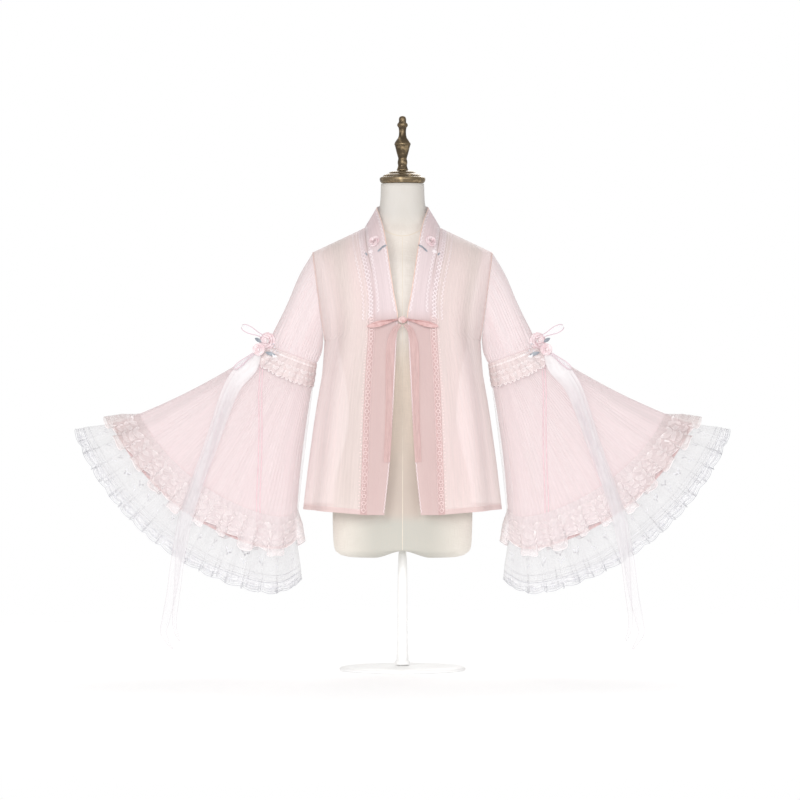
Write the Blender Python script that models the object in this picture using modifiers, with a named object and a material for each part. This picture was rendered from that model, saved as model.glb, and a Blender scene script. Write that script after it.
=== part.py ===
"""A sheer open jacket with wide bell sleeves, worn by a limbless dress form on a stand.

Metres, +Z up. The jacket's front faces -Y, and the origin is under the middle of the stand.
"left" is the viewer's left, at -X. Sleeve pieces are worked out for the left side, where "out"
is a distance from the middle plane, and the right side mirrors them.
"""

import math

import bmesh
import bpy
import numpy as np

# Walls and gaps
CHIFFON = 0.0012
TULLE = 0.0010
RIBBON = 0.0010
SEAM_GAP = 0.0003

# Stand
BASE_RADIUS = 0.140
BASE_HEIGHT = 0.010
POLE_RADIUS = 0.011
BASE_SEGMENTS = 32
POLE_SEGMENTS = 12

# Dress form: one row for each section, from the bottom up
FORM_SEGMENTS = 24
# Columns: height, half width, reach to the front, reach to the back, roundness
FORM_RINGS = (
    (0.2560, 0.1370, 0.098, 0.104, 2.5),
    (0.2700, 0.1510, 0.112, 0.118, 2.4),
    (0.3100, 0.1545, 0.117, 0.122, 2.3),
    (0.3700, 0.1545, 0.114, 0.122, 2.3),
    (0.4400, 0.1450, 0.107, 0.110, 2.3),
    (0.5100, 0.1270, 0.098, 0.092, 2.3),
    (0.5700, 0.1190, 0.092, 0.084, 2.3),
    (0.6400, 0.1260, 0.100, 0.090, 2.3),
    (0.7100, 0.1400, 0.115, 0.100, 2.4),
    (0.7650, 0.1480, 0.121, 0.105, 2.4),
    (0.8200, 0.1530, 0.112, 0.107, 2.4),
    (0.8650, 0.1640, 0.095, 0.102, 2.3),
    (0.8980, 0.1720, 0.078, 0.093, 2.2),
    (0.9190, 0.1800, 0.060, 0.078, 2.0),
    (0.9380, 0.1690, 0.046, 0.062, 1.8),
    (0.9570, 0.1300, 0.040, 0.046, 1.8),
    (0.9740, 0.0850, 0.040, 0.040, 1.8),
    (0.9950, 0.0640, 0.046, 0.048, 2.0),
    (1.0300, 0.0510, 0.046, 0.046, 2.0),
    (1.0805, 0.0478, 0.045, 0.045, 2.0),
)
FORM_NOTCH_HEIGHT = 0.015
FORM_NOTCH_HALF_WIDTH = 0.062
FORM_SOCKET_RADIUS = 0.030
FORM_UNDER_DROP = 0.004
FORM_UNDER_SHARES = (0.55, 0.88)

# Cap and finial, top first
# Columns: radius, height
CAP_PROFILE = (
    (0.0000, 1.1095),
    (0.0170, 1.1095),
    (0.0290, 1.1070),
    (0.0310, 1.1030),
    (0.0420, 1.1000),
    (0.0440, 1.0965),
    (0.0500, 1.0945),
    (0.0512, 1.0900),
    (0.0495, 1.0850),
    (0.0460, 1.0810),
    (0.0000, 1.0810),
)
FINIAL_PROFILE = (
    (0.0000, 1.2320),
    (0.0060, 1.2305),
    (0.0084, 1.2245),
    (0.0078, 1.2175),
    (0.0119, 1.2140),
    (0.0119, 1.2085),
    (0.0079, 1.2050),
    (0.0079, 1.1850),
    (0.0150, 1.1760),
    (0.0188, 1.1690),
    (0.0167, 1.1650),
    (0.0125, 1.1470),
    (0.0089, 1.1365),
    (0.0109, 1.1310),
    (0.0109, 1.1250),
    (0.0095, 1.1220),
    (0.0120, 1.1130),
    (0.0143, 1.1098),
    (0.0000, 1.1098),
)
CAP_SEGMENTS = 20
FINIAL_SEGMENTS = 12

# Jacket body: a row for each level from the hem (0) through the underarm to the shoulder seam
UNDERARM_LEVEL = 4
SHOULDER_LEVEL = 10
# Columns: distance out, height
SIDE_SEAM = (
    (0.2178, 0.359),
    (0.2060, 0.460),
    (0.1925, 0.560),
    (0.1790, 0.650),
    (0.1725, 0.733),
)
ARMHOLE_TOP = (0.1993, 0.9275)
ARMHOLE_HALF_DEPTH = 0.052
# Columns: out, y and height of the band's seam, then out, y and height of its free edge
FRONT_LEVELS = (
    (0.0789, -0.1460, 0.348, 0.0400, -0.1490, 0.348),
    (0.0750, -0.1450, 0.455, 0.0285, -0.1480, 0.455),
    (0.0715, -0.1420, 0.560, 0.0215, -0.1450, 0.560),
    (0.0670, -0.1380, 0.655, 0.0165, -0.1410, 0.655),
    (0.0615, -0.1340, 0.740, 0.0125, -0.1370, 0.740),
    (0.0600, -0.1310, 0.785, 0.0105, -0.1350, 0.785),
    (0.0600, -0.1240, 0.830, 0.0190, -0.1290, 0.835),
    (0.0670, -0.1110, 0.878, 0.0270, -0.1170, 0.888),
    (0.0760, -0.0880, 0.922, 0.0340, -0.0970, 0.937),
    (0.0815, -0.0520, 0.957, 0.0430, -0.0660, 0.985),
    (0.0833, 0.0000, 0.982, 0.0567, -0.0120, 1.027),
)
# Columns: y and height at the middle of the back
BACK_LEVELS = (
    (0.1500, 0.352),
    (0.1460, 0.457),
    (0.1410, 0.560),
    (0.1350, 0.652),
    (0.1290, 0.738),
    (0.1250, 0.785),
    (0.1200, 0.830),
    (0.1130, 0.875),
    (0.1020, 0.918),
    (0.0860, 0.957),
    (0.0700, 0.988),
)
NECK_SHARE = 0.70
BACK_BLEND_LEVELS = 1.6
COLLAR_RISE_LEVEL = 6
BAND_STEPS_PER_LEVEL = 4
BAND_CELLS = 2
COLLAR_TOP_BACK_Y = 0.0540
COLLAR_TOP_BACK_HEIGHT = 1.036
FRONT_CELLS = 10
BACK_SHOULDER_CELLS = 7
BACK_NECK_CELLS = 3
BODY_ROUNDNESS = 2.4
ARMHOLE_TURN = math.radians(38)
ARMHOLE_TURN_START = UNDERARM_LEVEL - 0.6
ARMHOLE_TURN_LEVELS = 1.6
FRONT_FOLDS = 2.5
BACK_HALF_FOLDS = 2.5
FOLD_DEPTH_AT_HEM = 0.009
FOLD_TOP_LEVEL = UNDERARM_LEVEL + 1.5
FOLD_FACING = 0.25
NECK_CELLS = 12
BRAID_WIDTH = 0.015
BRAID_STEPS_PER_LEVEL = 2
BRAID_END = 0.02
BRAID_EDGE_SHARE = 0.02
BRAID_LIFT = 0.0002

# Upper sleeve: a row for each ring from the armhole to the elbow
# Columns: out and height of the ring's upper end, out and height of its lower end, half depth
UPPER_RINGS = (
    (0.1998, 0.9255, 0.1765, 0.7360, 0.0495),
    (0.2290, 0.8760, 0.1810, 0.7190, 0.0460),
    (0.2540, 0.8170, 0.1850, 0.7050, 0.0430),
    (0.2770, 0.7680, 0.1885, 0.6940, 0.0400),
    (0.2990, 0.7225, 0.1910, 0.6835, 0.0370),
)
UPPER_HALF_LENGTH = 0.080
UPPER_HALF_DEPTH = 0.043
UPPER_CELLS = 20
UPPER_FOLDS = 5
UPPER_FOLD_DEPTH = 0.004

# Bell: straight from the elbow ring to a hem on a circle, seen from the front
ELBOW_TOP = (0.2994, 0.7214)
ELBOW_LOW = (0.1912, 0.6824)
ELBOW_HALF_DEPTH = 0.037
FAN_CENTRE = (0.179, 0.749)
HEM_RADIUS = 0.591
HEM_TOP_ANGLE = math.radians(23)
HEM_LOW_ANGLE = math.radians(84)
HEM_HALF_DEPTH = 0.050
HEM_CORNER = 0.070
HEM_CORNER_SHARPNESS = 12
TOP_EDGE_SAG = 0.020
LOW_EDGE_BOW = 0.013
BELL_HALF_LENGTH = 0.30
BELL_CELLS = 24
BELL_FOLDS = 6
BELL_FOLD_DEPTH = 0.010
BELL_SHARES = (0.0, 0.06, 0.16, 0.32, 0.50, 0.66, 0.79, 0.90, 1.0)
CHIFFON_ROWS = 7

# What is sewn on the bell: where it starts and ends along the bell, and its waves
FRILL_SPAN = (0.004, 0.050, 0.105)
FRILL_WAVES = 12
FRILL_LIFT = (0.0006, 0.0050, 0.0080)
FRILL_WAVE = (0.0, 0.0030, 0.0055)
TIER_SPAN = (0.675, 0.750, 0.840)
TIER_WAVES = 18
TIER_LIFT = (0.0006, 0.0070, 0.0115)
TIER_WAVE = (0.0, 0.0050, 0.0080)
FLOUNCE_SPAN = (0.792, 0.955)
FLOUNCE_WAVES = 18
FLOUNCE_LIFT = (0.0005, 0.0070)
FLOUNCE_WAVE = (0.0, 0.0060)
BORDER_SPAN = (0.9557, 1.0)
BORDER_LIFT = (0.0070, 0.0080)
BORDER_WAVE = (0.0060, 0.0070)
CELLS_PER_WAVE = 4
FRILL_CALM = 0.80

# Roses: rings from the base to the middle, each with lobes for its petals
ROSE_HEIGHT_SHARE = 0.77
ROSE_STEPS = 15
ROSE_PETALS = 5
ROSE_RING_TURN = 0.9
# Columns: share of the radius, share of the height, depth of the lobes
ROSE_RINGS = (
    (0.80, 0.00, 0.00),
    (1.00, 0.30, 0.10),
    (0.80, 0.55, 0.10),
    (0.70, 0.50, 0.08),
    (0.52, 0.85, 0.10),
    (0.40, 0.75, 0.06),
    (0.24, 1.00, 0.04),
)

# Corsage at the elbow and the collar's small rose
ROSE_RADIUS = 0.0160
SMALL_ROSE_RADIUS = 0.0110
COLLAR_ROSE_RADIUS = 0.0100
ROSE_FACING = (0.45, -0.89, 0.10)
SMALL_ROSE_FACING = (0.20, -0.97, 0.0)
ROSE_PLACE = (0.3000, -0.0185, 0.7305)
SMALL_ROSE_PLACE = (0.3185, -0.0434, 0.7060)
COLLAR_ROSE_LEVEL = 8.5
COLLAR_ROSE_SHARE = 0.38
COLLAR_ROSE_LIFT = 0.0009
# A leaf's root and tip: out, y and height of each
LOW_LEAF = (0.3040, -0.0386, 0.7060, 0.2810, -0.0411, 0.6990)
HIGH_LEAF = (0.3180, -0.0180, 0.7330, 0.3330, -0.0180, 0.7430)
LEAF_WIDTH = 0.009
LEAF_SHARES = (0.02, 0.30, 0.62, 0.98)
LEAF_POINT_HALF = 0.0006
LEAF_BULGE = 0.12

# Long organza tails: a row for each bend of the ribbon's middle line
# Columns: out, y, height, width
TAIL_OUTER = (
    (0.3190, -0.0366, 0.7040, 0.010),
    (0.3400, -0.0440, 0.6780, 0.020),
    (0.3810, -0.0480, 0.6280, 0.025),
    (0.4230, -0.0545, 0.5110, 0.025),
    (0.4540, -0.0655, 0.4220, 0.025),
    (0.4790, -0.0755, 0.3470, 0.025),
    (0.4980, -0.0760, 0.2530, 0.024),
    (0.5090, -0.0750, 0.1780, 0.022),
    (0.5220, -0.0730, 0.1160, 0.018),
    (0.5270, -0.0720, 0.0850, 0.014),
    (0.5080, -0.0720, 0.0500, 0.004),
)
TAIL_INNER = (
    (0.3160, -0.0384, 0.7040, 0.010),
    (0.3370, -0.0462, 0.6740, 0.020),
    (0.3760, -0.0510, 0.6220, 0.025),
    (0.4180, -0.0575, 0.5080, 0.025),
    (0.4500, -0.0695, 0.4190, 0.025),
    (0.4740, -0.0790, 0.3440, 0.025),
    (0.4900, -0.0795, 0.2530, 0.020),
    (0.4970, -0.0785, 0.1780, 0.014),
    (0.5030, -0.0770, 0.1160, 0.010),
    (0.4990, -0.0760, 0.0850, 0.008),
    (0.4910, -0.0760, 0.0680, 0.004),
)
TAIL_LEVELS = 18

# Loops: out, y and height of the root, the same of the tip, ribbon width, half the opening
UPPER_LOOP = (0.3115, -0.0200, 0.7420, 0.3570, -0.0200, 0.7640, 0.018, 0.007)
LOWER_LOOP = (0.3300, -0.0469, 0.7030, 0.3730, -0.0560, 0.6690, 0.012, 0.004)
LOOP_LEVELS = 12
LOOP_FULLNESS = 0.85
LOOP_ROOT_GAP = 0.30
LOOP_ROOT_WIDTH = 0.45
LOOP_WIDENING = 1.6

# Bow that closes the front
BOW_HEIGHT = 0.776
BOW_Y = -0.1420
KNOT_RADII = (0.0100, 0.0075, 0.0100)
KNOT_SEGMENTS = 12
KNOT_RINGS = 8
BOW_LOOP = (0.0103, -0.1420, 0.7760, 0.0780, -0.1400, 0.7610, 0.013, 0.005)
BOW_LOOP_LEVELS = 10
# Columns: out, y, height, width
BOW_TAIL = (
    (0.0050, -0.1430, 0.7660, 0.008),
    (0.0180, -0.1390, 0.7500, 0.013),
    (0.0260, -0.1398, 0.7160, 0.017),
    (0.0280, -0.1422, 0.6600, 0.016),
    (0.0290, -0.1450, 0.6000, 0.014),
    (0.0310, -0.1484, 0.5300, 0.014),
    (0.0340, -0.1506, 0.4640, 0.013),
)
BOW_TAIL_LEVELS = 10

LEFT, RIGHT = -1, 1
MIRROR = np.array((-1.0, 1.0, 1.0))
SIDES = ((LEFT, "left"), (RIGHT, "right"))


# Numbers along a table

def read_table(rows, place):
    """The table's columns at a place between its rows, on a smooth curve through them."""
    values = np.array(rows, dtype=float)
    last = len(values) - 1
    start = int(min(max(math.floor(place), 0), last - 1))
    share = place - start
    before = values[max(start - 1, 0)]
    here = values[start]
    there = values[start + 1]
    after = values[min(start + 2, last)]
    slope_here = (there - before) / (2 if start > 0 else 1)
    slope_there = (after - here) / (2 if start + 2 <= last else 1)
    square = share * share
    cube = square * share
    return (
        (2 * cube - 3 * square + 1) * here
        + (cube - 2 * square + share) * slope_here
        + (3 * square - 2 * cube) * there
        + (cube - square) * slope_there
    )


def ease(share):
    """0 to 1 with a soft start and end."""
    share = min(max(share, 0.0), 1.0)
    return share * share * (3 - 2 * share)


def even_ring(count, long_half, short_half):
    """Angles round an ellipse, from its long end, that part it into arcs of even length."""
    fine = np.linspace(0, 2 * math.pi, 721)
    steps = np.hypot(np.diff(long_half * np.cos(fine)), np.diff(short_half * np.sin(fine)))
    length = np.concatenate(([0], np.cumsum(steps)))
    wanted = np.arange(count) / count * length[-1]
    return np.interp(wanted, length, fine)


# Sheets: rows of points, and reading between them

def sheet_normals(points, closed):
    """Unit normals of a sheet's points, of columns crossed with rows."""
    if closed:
        across = np.roll(points, -1, axis=1) - np.roll(points, 1, axis=1)
    else:
        across = np.gradient(points, axis=1)
    along = np.gradient(points, axis=0)
    normals = np.cross(across, along)
    return normals / np.linalg.norm(normals, axis=2, keepdims=True)


def read_sheet(sheet, column, row, closed):
    """A sheet's value between four of its points."""
    rows, columns = sheet.shape[:2]
    low_row = int(min(max(math.floor(row), 0), rows - 2))
    row_share = row - low_row
    low_column = math.floor(column)
    if not closed:
        low_column = min(max(low_column, 0), columns - 2)
    column_share = column - low_column
    near = low_column % columns
    far = (low_column + 1) % columns
    lower = sheet[low_row, near] * (1 - column_share) + sheet[low_row, far] * column_share
    upper = sheet[low_row + 1, near] * (1 - column_share) + sheet[low_row + 1, far] * column_share
    return lower * (1 - row_share) + upper * row_share


def mirrored(points):
    """The same sheet at the other side, with its outside still out."""
    return points[:, ::-1] * MIRROR


def for_side(points, side):
    """A sheet worked out for the left side, or its mirror."""
    return points if side == LEFT else mirrored(points)


# Jacket body

def side_point(level):
    """Side seam, then the armhole's front half: distance out, distance forward, height."""
    if level <= UNDERARM_LEVEL:
        out, height = read_table(SIDE_SEAM, level)
        return out, 0.0, height
    share = (level - UNDERARM_LEVEL) / (SHOULDER_LEVEL - UNDERARM_LEVEL)
    turn = math.pi * (1 - share)
    low_out, low_height = SIDE_SEAM[-1]
    top_out, top_height = ARMHOLE_TOP
    out = (top_out + low_out) / 2 + (top_out - low_out) / 2 * math.cos(turn)
    height = (top_height + low_height) / 2 + (top_height - low_height) / 2 * math.cos(turn)
    return out, ARMHOLE_HALF_DEPTH * math.sin(turn), height


def bend(share, level):
    """How far the body's curve has gone across and towards front or back, each 0 to 1."""
    first = ARMHOLE_TURN * ease((level - ARMHOLE_TURN_START) / ARMHOLE_TURN_LEVELS)
    angle = first + (math.pi / 2 - first) * share
    power = 2 / BODY_ROUNDNESS
    across = 1 - math.cos(angle) ** power / math.cos(first) ** power if share < 1 else 1.0
    start = math.sin(first) ** power if first > 0 else 0.0
    forward = (math.sin(angle) ** power - start) / (1 - start)
    return across, forward


def body_fold(share, level, folds):
    """Depth of the soft folds that open towards the hem and end flat at both seams."""
    fade = ease(1 - level / FOLD_TOP_LEVEL)
    wave = (1 - math.cos(2 * math.pi * folds * share)) / 2
    if folds % 1:
        wave *= math.sin(math.pi * share) ** 0.5 if 0 < share < 1 else 0.0
    return FOLD_DEPTH_AT_HEM * fade * wave


def front_point(share, level):
    """The left front, from the side (share 0) to the band's seam (share 1)."""
    out, forward, height = side_point(level)
    seam_out, seam_y, seam_height = read_table(FRONT_LEVELS, level)[:3]
    across, ahead = bend(share, level)
    fold = body_fold(share, level, FRONT_FOLDS)
    x = out + (seam_out - out) * across
    y = -forward + (seam_y + forward) * ahead
    z = height + (seam_height - height) * across
    facing = np.array((-(1 - share), -(share + FOLD_FACING), 0.0))
    facing /= np.linalg.norm(facing)
    return np.array((-x, y, z)) + facing * fold


def back_point(share, level):
    """The back's left half, from the side (share 0) to the middle (share 1)."""
    out, forward, height = side_point(level)
    back_y, back_height = read_table(BACK_LEVELS, level)
    across, behind = bend(share, level)
    fold = body_fold(share, level, BACK_HALF_FOLDS)
    point = np.array((
        -out * (1 - across),
        forward + (back_y - forward) * behind,
        height + (back_height - height) * across,
    ))
    facing = np.array((-(1 - share), share + FOLD_FACING, 0.0))
    point += facing / np.linalg.norm(facing) * fold
    top = ease((level - SHOULDER_LEVEL) / BACK_BLEND_LEVELS + 1)
    return point * (1 - top) + back_top_point(share) * top


def back_top_point(share):
    """The back's upper edge: the shoulder seam to the neck point, then half the neck."""
    tip = np.array((-ARMHOLE_TOP[0], 0.0, ARMHOLE_TOP[1]))
    seam_out, seam_y, seam_height = FRONT_LEVELS[-1][:3]
    neck = np.array((-seam_out, seam_y, seam_height))
    if share <= NECK_SHARE:
        return tip + (neck - tip) * share / NECK_SHARE
    return neck_point((share - NECK_SHARE) / (1 - NECK_SHARE))


def neck_point(share):
    """The neck seam behind the left shoulder: neck point (0) to the middle of the back (1)."""
    seam_out, seam_y, seam_height = FRONT_LEVELS[-1][:3]
    back_y, back_height = BACK_LEVELS[-1]
    turn = share * math.pi / 2
    return np.array((
        -seam_out * math.cos(turn),
        seam_y + (back_y - seam_y) * math.sin(turn),
        seam_height + (back_height - seam_height) * math.sin(turn),
    ))


def collar_top_point(share):
    """The collar's free edge above the neck seam, over the same share."""
    edge_out, edge_y, edge_height = FRONT_LEVELS[-1][3:]
    turn = share * math.pi / 2
    return np.array((
        -edge_out * math.cos(turn),
        edge_y + (COLLAR_TOP_BACK_Y - edge_y) * math.sin(turn),
        edge_height + (COLLAR_TOP_BACK_HEIGHT - edge_height) * math.sin(turn),
    ))


def front_sheet():
    """The left front's points: levels from the hem up, columns from the side to the band."""
    levels = range(SHOULDER_LEVEL + 1)
    shares = np.linspace(0, 1, FRONT_CELLS + 1)
    points = np.array([[front_point(share, level) for share in shares] for level in levels])
    points[:, 0, 1] -= SEAM_GAP
    points[-1, :, 1] -= SEAM_GAP
    points[:, -1, 0] -= SEAM_GAP
    return points


def back_sheet():
    """The whole back, from the right side round to the left, so that its outside faces +Y."""
    levels = range(SHOULDER_LEVEL + 1)
    near = np.linspace(0, NECK_SHARE, BACK_SHOULDER_CELLS + 1)
    far = np.linspace(NECK_SHARE, 1, BACK_NECK_CELLS + 1)[1:]
    shares = np.concatenate((near, far))
    left = np.array([[back_point(share, level) for share in shares] for level in levels])
    left[:, 0, 1] += SEAM_GAP
    left[-1, :, 1] += SEAM_GAP
    right = mirrored(left)
    return np.concatenate((right[:, ::-1][:, :-1], left[:, ::-1]), axis=1)


def band_sheet():
    """The left band beside the front edge, from the hem to the shoulder seam."""
    rows = []
    for level in range(SHOULDER_LEVEL + 1):
        seam_out, seam_y, seam_height, edge_out, edge_y, edge_height = read_table(
            FRONT_LEVELS, level
        )
        seam = np.array((-seam_out, seam_y, seam_height))
        edge = np.array((-edge_out, edge_y, edge_height))
        stand_off = SEAM_GAP + CHIFFON * ease((level - COLLAR_RISE_LEVEL) / 2)
        seam += (edge - seam) / np.linalg.norm(edge - seam) * stand_off
        if level == SHOULDER_LEVEL:
            seam[1] -= SEAM_GAP
            edge[1] -= SEAM_GAP
        rows.append([seam, edge])
    levels = np.array(rows)
    places = np.linspace(0, SHOULDER_LEVEL, SHOULDER_LEVEL * BAND_STEPS_PER_LEVEL + 1)
    shares = np.linspace(0, 1, BAND_CELLS + 1)
    return np.array([
        [read_sheet(levels, share, place, closed=False) for share in shares]
        for place in places
    ])


def neck_band_sheet():
    """The collar round the back of the neck, from its seam up to its free edge."""
    turns = np.linspace(-1, 1, NECK_CELLS + 1)
    rows = []
    for point_at in (neck_point, collar_top_point):
        row = []
        for turn in turns:
            point = point_at(1 - abs(turn)) + np.array((0, SEAM_GAP, 0))
            if turn < 0:
                point[0] = -point[0]
            row.append(point)
        rows.append(row)
    points = np.array(rows)
    points[0, :, 2] += SEAM_GAP + CHIFFON
    return points


def braid_sheet(front):
    """The lace braid on the left front, beside the band's seam."""
    normals = sheet_normals(front, closed=False)
    rows = []
    steps = SHOULDER_LEVEL * BRAID_STEPS_PER_LEVEL
    for level in np.linspace(0, SHOULDER_LEVEL, steps + 1):
        level = min(max(level, BRAID_END), SHOULDER_LEVEL - BRAID_END)
        seam = read_sheet(front, FRONT_CELLS, level, closed=False)
        beside = read_sheet(front, FRONT_CELLS - 1, level, closed=False)
        reach = min(BRAID_WIDTH / np.linalg.norm(beside - seam), 1.0)
        row = []
        for share in (reach, BRAID_EDGE_SHARE):
            column = FRONT_CELLS - share
            point = read_sheet(front, column, level, closed=False)
            normal = read_sheet(normals, column, level, closed=False)
            row.append(point + normal * (CHIFFON + SEAM_GAP + BRAID_LIFT))
        rows.append(row)
    return np.array(rows)


# Sleeves

def oval_ring(top, low, half_depth, angles):
    """A ring from its upper end over the back, the lower end and the front."""
    middle = (np.array(top) + np.array(low)) / 2
    reach = (np.array(top) - np.array(low)) / 2
    return np.array([
        (
            -(middle[0] + reach[0] * math.cos(angle)),
            half_depth * math.sin(angle),
            middle[1] + reach[1] * math.cos(angle),
        )
        for angle in angles
    ])


def upper_sleeve_sheet():
    """The left upper sleeve's rings, with soft folds that fade at both seams."""
    angles = even_ring(UPPER_CELLS, UPPER_HALF_LENGTH, UPPER_HALF_DEPTH)
    rings = []
    for top_out, top_height, low_out, low_height, half_depth in UPPER_RINGS:
        rings.append(oval_ring((top_out, top_height), (low_out, low_height), half_depth, angles))
    points = np.array(rings)
    normals = sheet_normals(points, closed=True)
    rows = len(points) - 1
    for row in range(1, rows):
        fade = math.sin(math.pi * row / rows)
        for column in range(UPPER_CELLS):
            wave = (1 - math.cos(2 * math.pi * UPPER_FOLDS * column / UPPER_CELLS)) / 2
            points[row, column] += normals[row, column] * UPPER_FOLD_DEPTH * fade * wave
    return points


def bell_point(angle, share):
    """The bell's smooth form at an angle round it and a share of the way to the hem."""
    elbow = oval_ring(ELBOW_TOP, ELBOW_LOW, ELBOW_HALF_DEPTH, [angle])[0]
    middle_angle = (HEM_LOW_ANGLE + HEM_TOP_ANGLE) / 2
    half_angle = (HEM_LOW_ANGLE - HEM_TOP_ANGLE) / 2
    fan_angle = middle_angle - half_angle * math.cos(angle)
    corner = max(0.0, -math.cos(angle)) ** HEM_CORNER_SHARPNESS
    radius = HEM_RADIUS * (1 - HEM_CORNER * corner)
    hem = np.array((
        -(FAN_CENTRE[0] + radius * math.cos(fan_angle)),
        HEM_HALF_DEPTH * math.sin(angle),
        FAN_CENTRE[1] - radius * math.sin(fan_angle),
    ))
    upper = (1 + math.cos(angle)) / 2
    middle = 4 * share * (1 - share)
    sag = TOP_EDGE_SAG * middle * upper ** 2
    bow = LOW_EDGE_BOW * middle * (1 - upper) ** 2
    return elbow * (1 - share) + hem * share - np.array((bow, 0, sag))


def bell_sheet():
    """The left bell's form from the elbow to the hem of its flounce, with radial folds."""
    angles = even_ring(BELL_CELLS, BELL_HALF_LENGTH, HEM_HALF_DEPTH)
    points = np.array([[bell_point(angle, share) for angle in angles] for share in BELL_SHARES])
    normals = sheet_normals(points, closed=True)
    for row, share in enumerate(BELL_SHARES):
        for column in range(BELL_CELLS):
            wave = (1 - math.cos(2 * math.pi * BELL_FOLDS * column / BELL_CELLS)) / 2
            points[row, column] += normals[row, column] * BELL_FOLD_DEPTH * share * wave
    return points


def ruffle_sheet(bell, spans, waves, lifts, depths, calm_ends=0.0):
    """A gathered strip round the bell, made from the bell's points moved out."""
    normals = sheet_normals(bell, closed=True)
    cells = waves * CELLS_PER_WAVE
    angles = even_ring(cells, BELL_HALF_LENGTH, HEM_HALF_DEPTH)
    rows = []
    for span, lift, depth in zip(spans, lifts, depths):
        place = np.interp(span, BELL_SHARES, range(len(BELL_SHARES)))
        row = []
        for cell in range(cells):
            column = cell * BELL_CELLS / cells
            wave = math.cos(2 * math.pi * cell / CELLS_PER_WAVE)
            calm = 1 - calm_ends * math.cos(angles[cell]) ** 4
            point = read_sheet(bell, column, place, closed=True)
            normal = read_sheet(normals, column, place, closed=True)
            normal = normal / np.linalg.norm(normal)
            swell = (lift + depth * (wave + 1) / 2) * calm
            row.append(point + normal * (CHIFFON + max(swell, lifts[0])))
        rows.append(row)
    return np.array(rows)


# Ribbons

def ribbon_sheet(rows, levels):
    """A flat ribbon whose face looks forward, along the middle line of a table."""
    places = np.linspace(0, len(rows) - 1, levels + 1)
    middle = np.array([read_table(rows, place) for place in places])
    line = middle[:, :3] * MIRROR
    along = np.gradient(line, axis=0)
    across = np.cross(np.array((0.0, 1.0, 0.0)), along)
    across /= np.linalg.norm(across, axis=1, keepdims=True)
    half = middle[:, 3:4] / 2
    return np.stack((line - across * half, line + across * half), axis=1)


def loop_sheet(loop, levels):
    """A ribbon loop that leaves its root, turns at its tip and comes back behind."""
    root = np.array(loop[:3]) * MIRROR
    tip = np.array(loop[3:6]) * MIRROR
    width, half_gap = loop[6:]
    reach = tip - root
    across = np.cross(np.array((0.0, 1.0, 0.0)), reach)
    across /= np.linalg.norm(across)
    rows = []
    for turn in np.linspace(0, math.pi, levels + 1):
        swell = math.sin(turn)
        opening = LOOP_ROOT_GAP + (1 - LOOP_ROOT_GAP) * swell
        broadness = LOOP_ROOT_WIDTH + (1 - LOOP_ROOT_WIDTH) * ease(swell * LOOP_WIDENING)
        middle = root + reach * swell ** LOOP_FULLNESS
        middle[1] -= half_gap * opening * math.cos(turn)
        half = width / 2 * broadness
        rows.append((middle - across * half, middle + across * half))
    return np.array(rows)


# Blender objects

def clear_scene():
    for item in list(bpy.data.objects):
        bpy.data.objects.remove(item, do_unlink=True)


def make_material(name, colour, roughness, metallic=0.0):
    material = bpy.data.materials.new(name)
    material.use_nodes = True
    shader = material.node_tree.nodes["Principled BSDF"]
    shader.inputs["Base Color"].default_value = (*colour, 1.0)
    shader.inputs["Roughness"].default_value = roughness
    shader.inputs["Metallic"].default_value = metallic
    return material


def make_object(name, mesh, material, collection):
    item = bpy.data.objects.new(name, mesh)
    mesh.materials.append(material)
    collection.objects.link(item)
    return item


def sheet_mesh(name, points, closed):
    """A mesh of quads over a sheet's points."""
    rows, columns = points.shape[:2]
    mesh = bmesh.new()
    grid = [[mesh.verts.new(point) for point in row] for row in points]
    last = columns if closed else columns - 1
    for row in range(rows - 1):
        for column in range(last):
            beside = (column + 1) % columns
            mesh.faces.new((
                grid[row][column],
                grid[row][beside],
                grid[row + 1][beside],
                grid[row + 1][column],
            ))
    data = bpy.data.meshes.new(name)
    mesh.to_mesh(data)
    mesh.free()
    data.shade_smooth()
    return data


def make_wall(name, points, thickness, material, collection, closed=False):
    """A cloth wall: the sheet is its inner face and the thickness goes outwards."""
    item = make_object(name, sheet_mesh(name, points, closed), material, collection)
    wall = item.modifiers.new("Thickness", "SOLIDIFY")
    wall.thickness = thickness
    wall.offset = 1.0
    wall.use_even_offset = False
    return item


def make_turned(name, profile, segments, material, collection):
    """A solid turned about the vertical axis from a profile that runs down its outer side."""
    mesh = bmesh.new()
    points = [mesh.verts.new((radius, 0.0, height)) for radius, height in profile]
    for first, second in zip(points, points[1:]):
        mesh.edges.new((first, second))
    data = bpy.data.meshes.new(name)
    mesh.to_mesh(data)
    mesh.free()
    item = make_object(name, data, material, collection)
    turn = item.modifiers.new("Turn", "SCREW")
    turn.axis = "Z"
    turn.angle = 2 * math.pi
    turn.steps = segments
    turn.render_steps = segments
    turn.use_merge_vertices = True
    turn.merge_threshold = 0.0001
    turn.use_smooth_shade = True
    return item


def make_cylinder(name, radius, bottom, top, segments, material, collection):
    mesh = bmesh.new()
    bmesh.ops.create_cone(
        mesh,
        cap_ends=True,
        segments=segments,
        radius1=radius,
        radius2=radius,
        depth=top - bottom,
    )
    bmesh.ops.translate(mesh, verts=mesh.verts, vec=(0, 0, (top + bottom) / 2))
    data = bpy.data.meshes.new(name)
    mesh.to_mesh(data)
    mesh.free()
    return make_object(name, data, material, collection)


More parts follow.
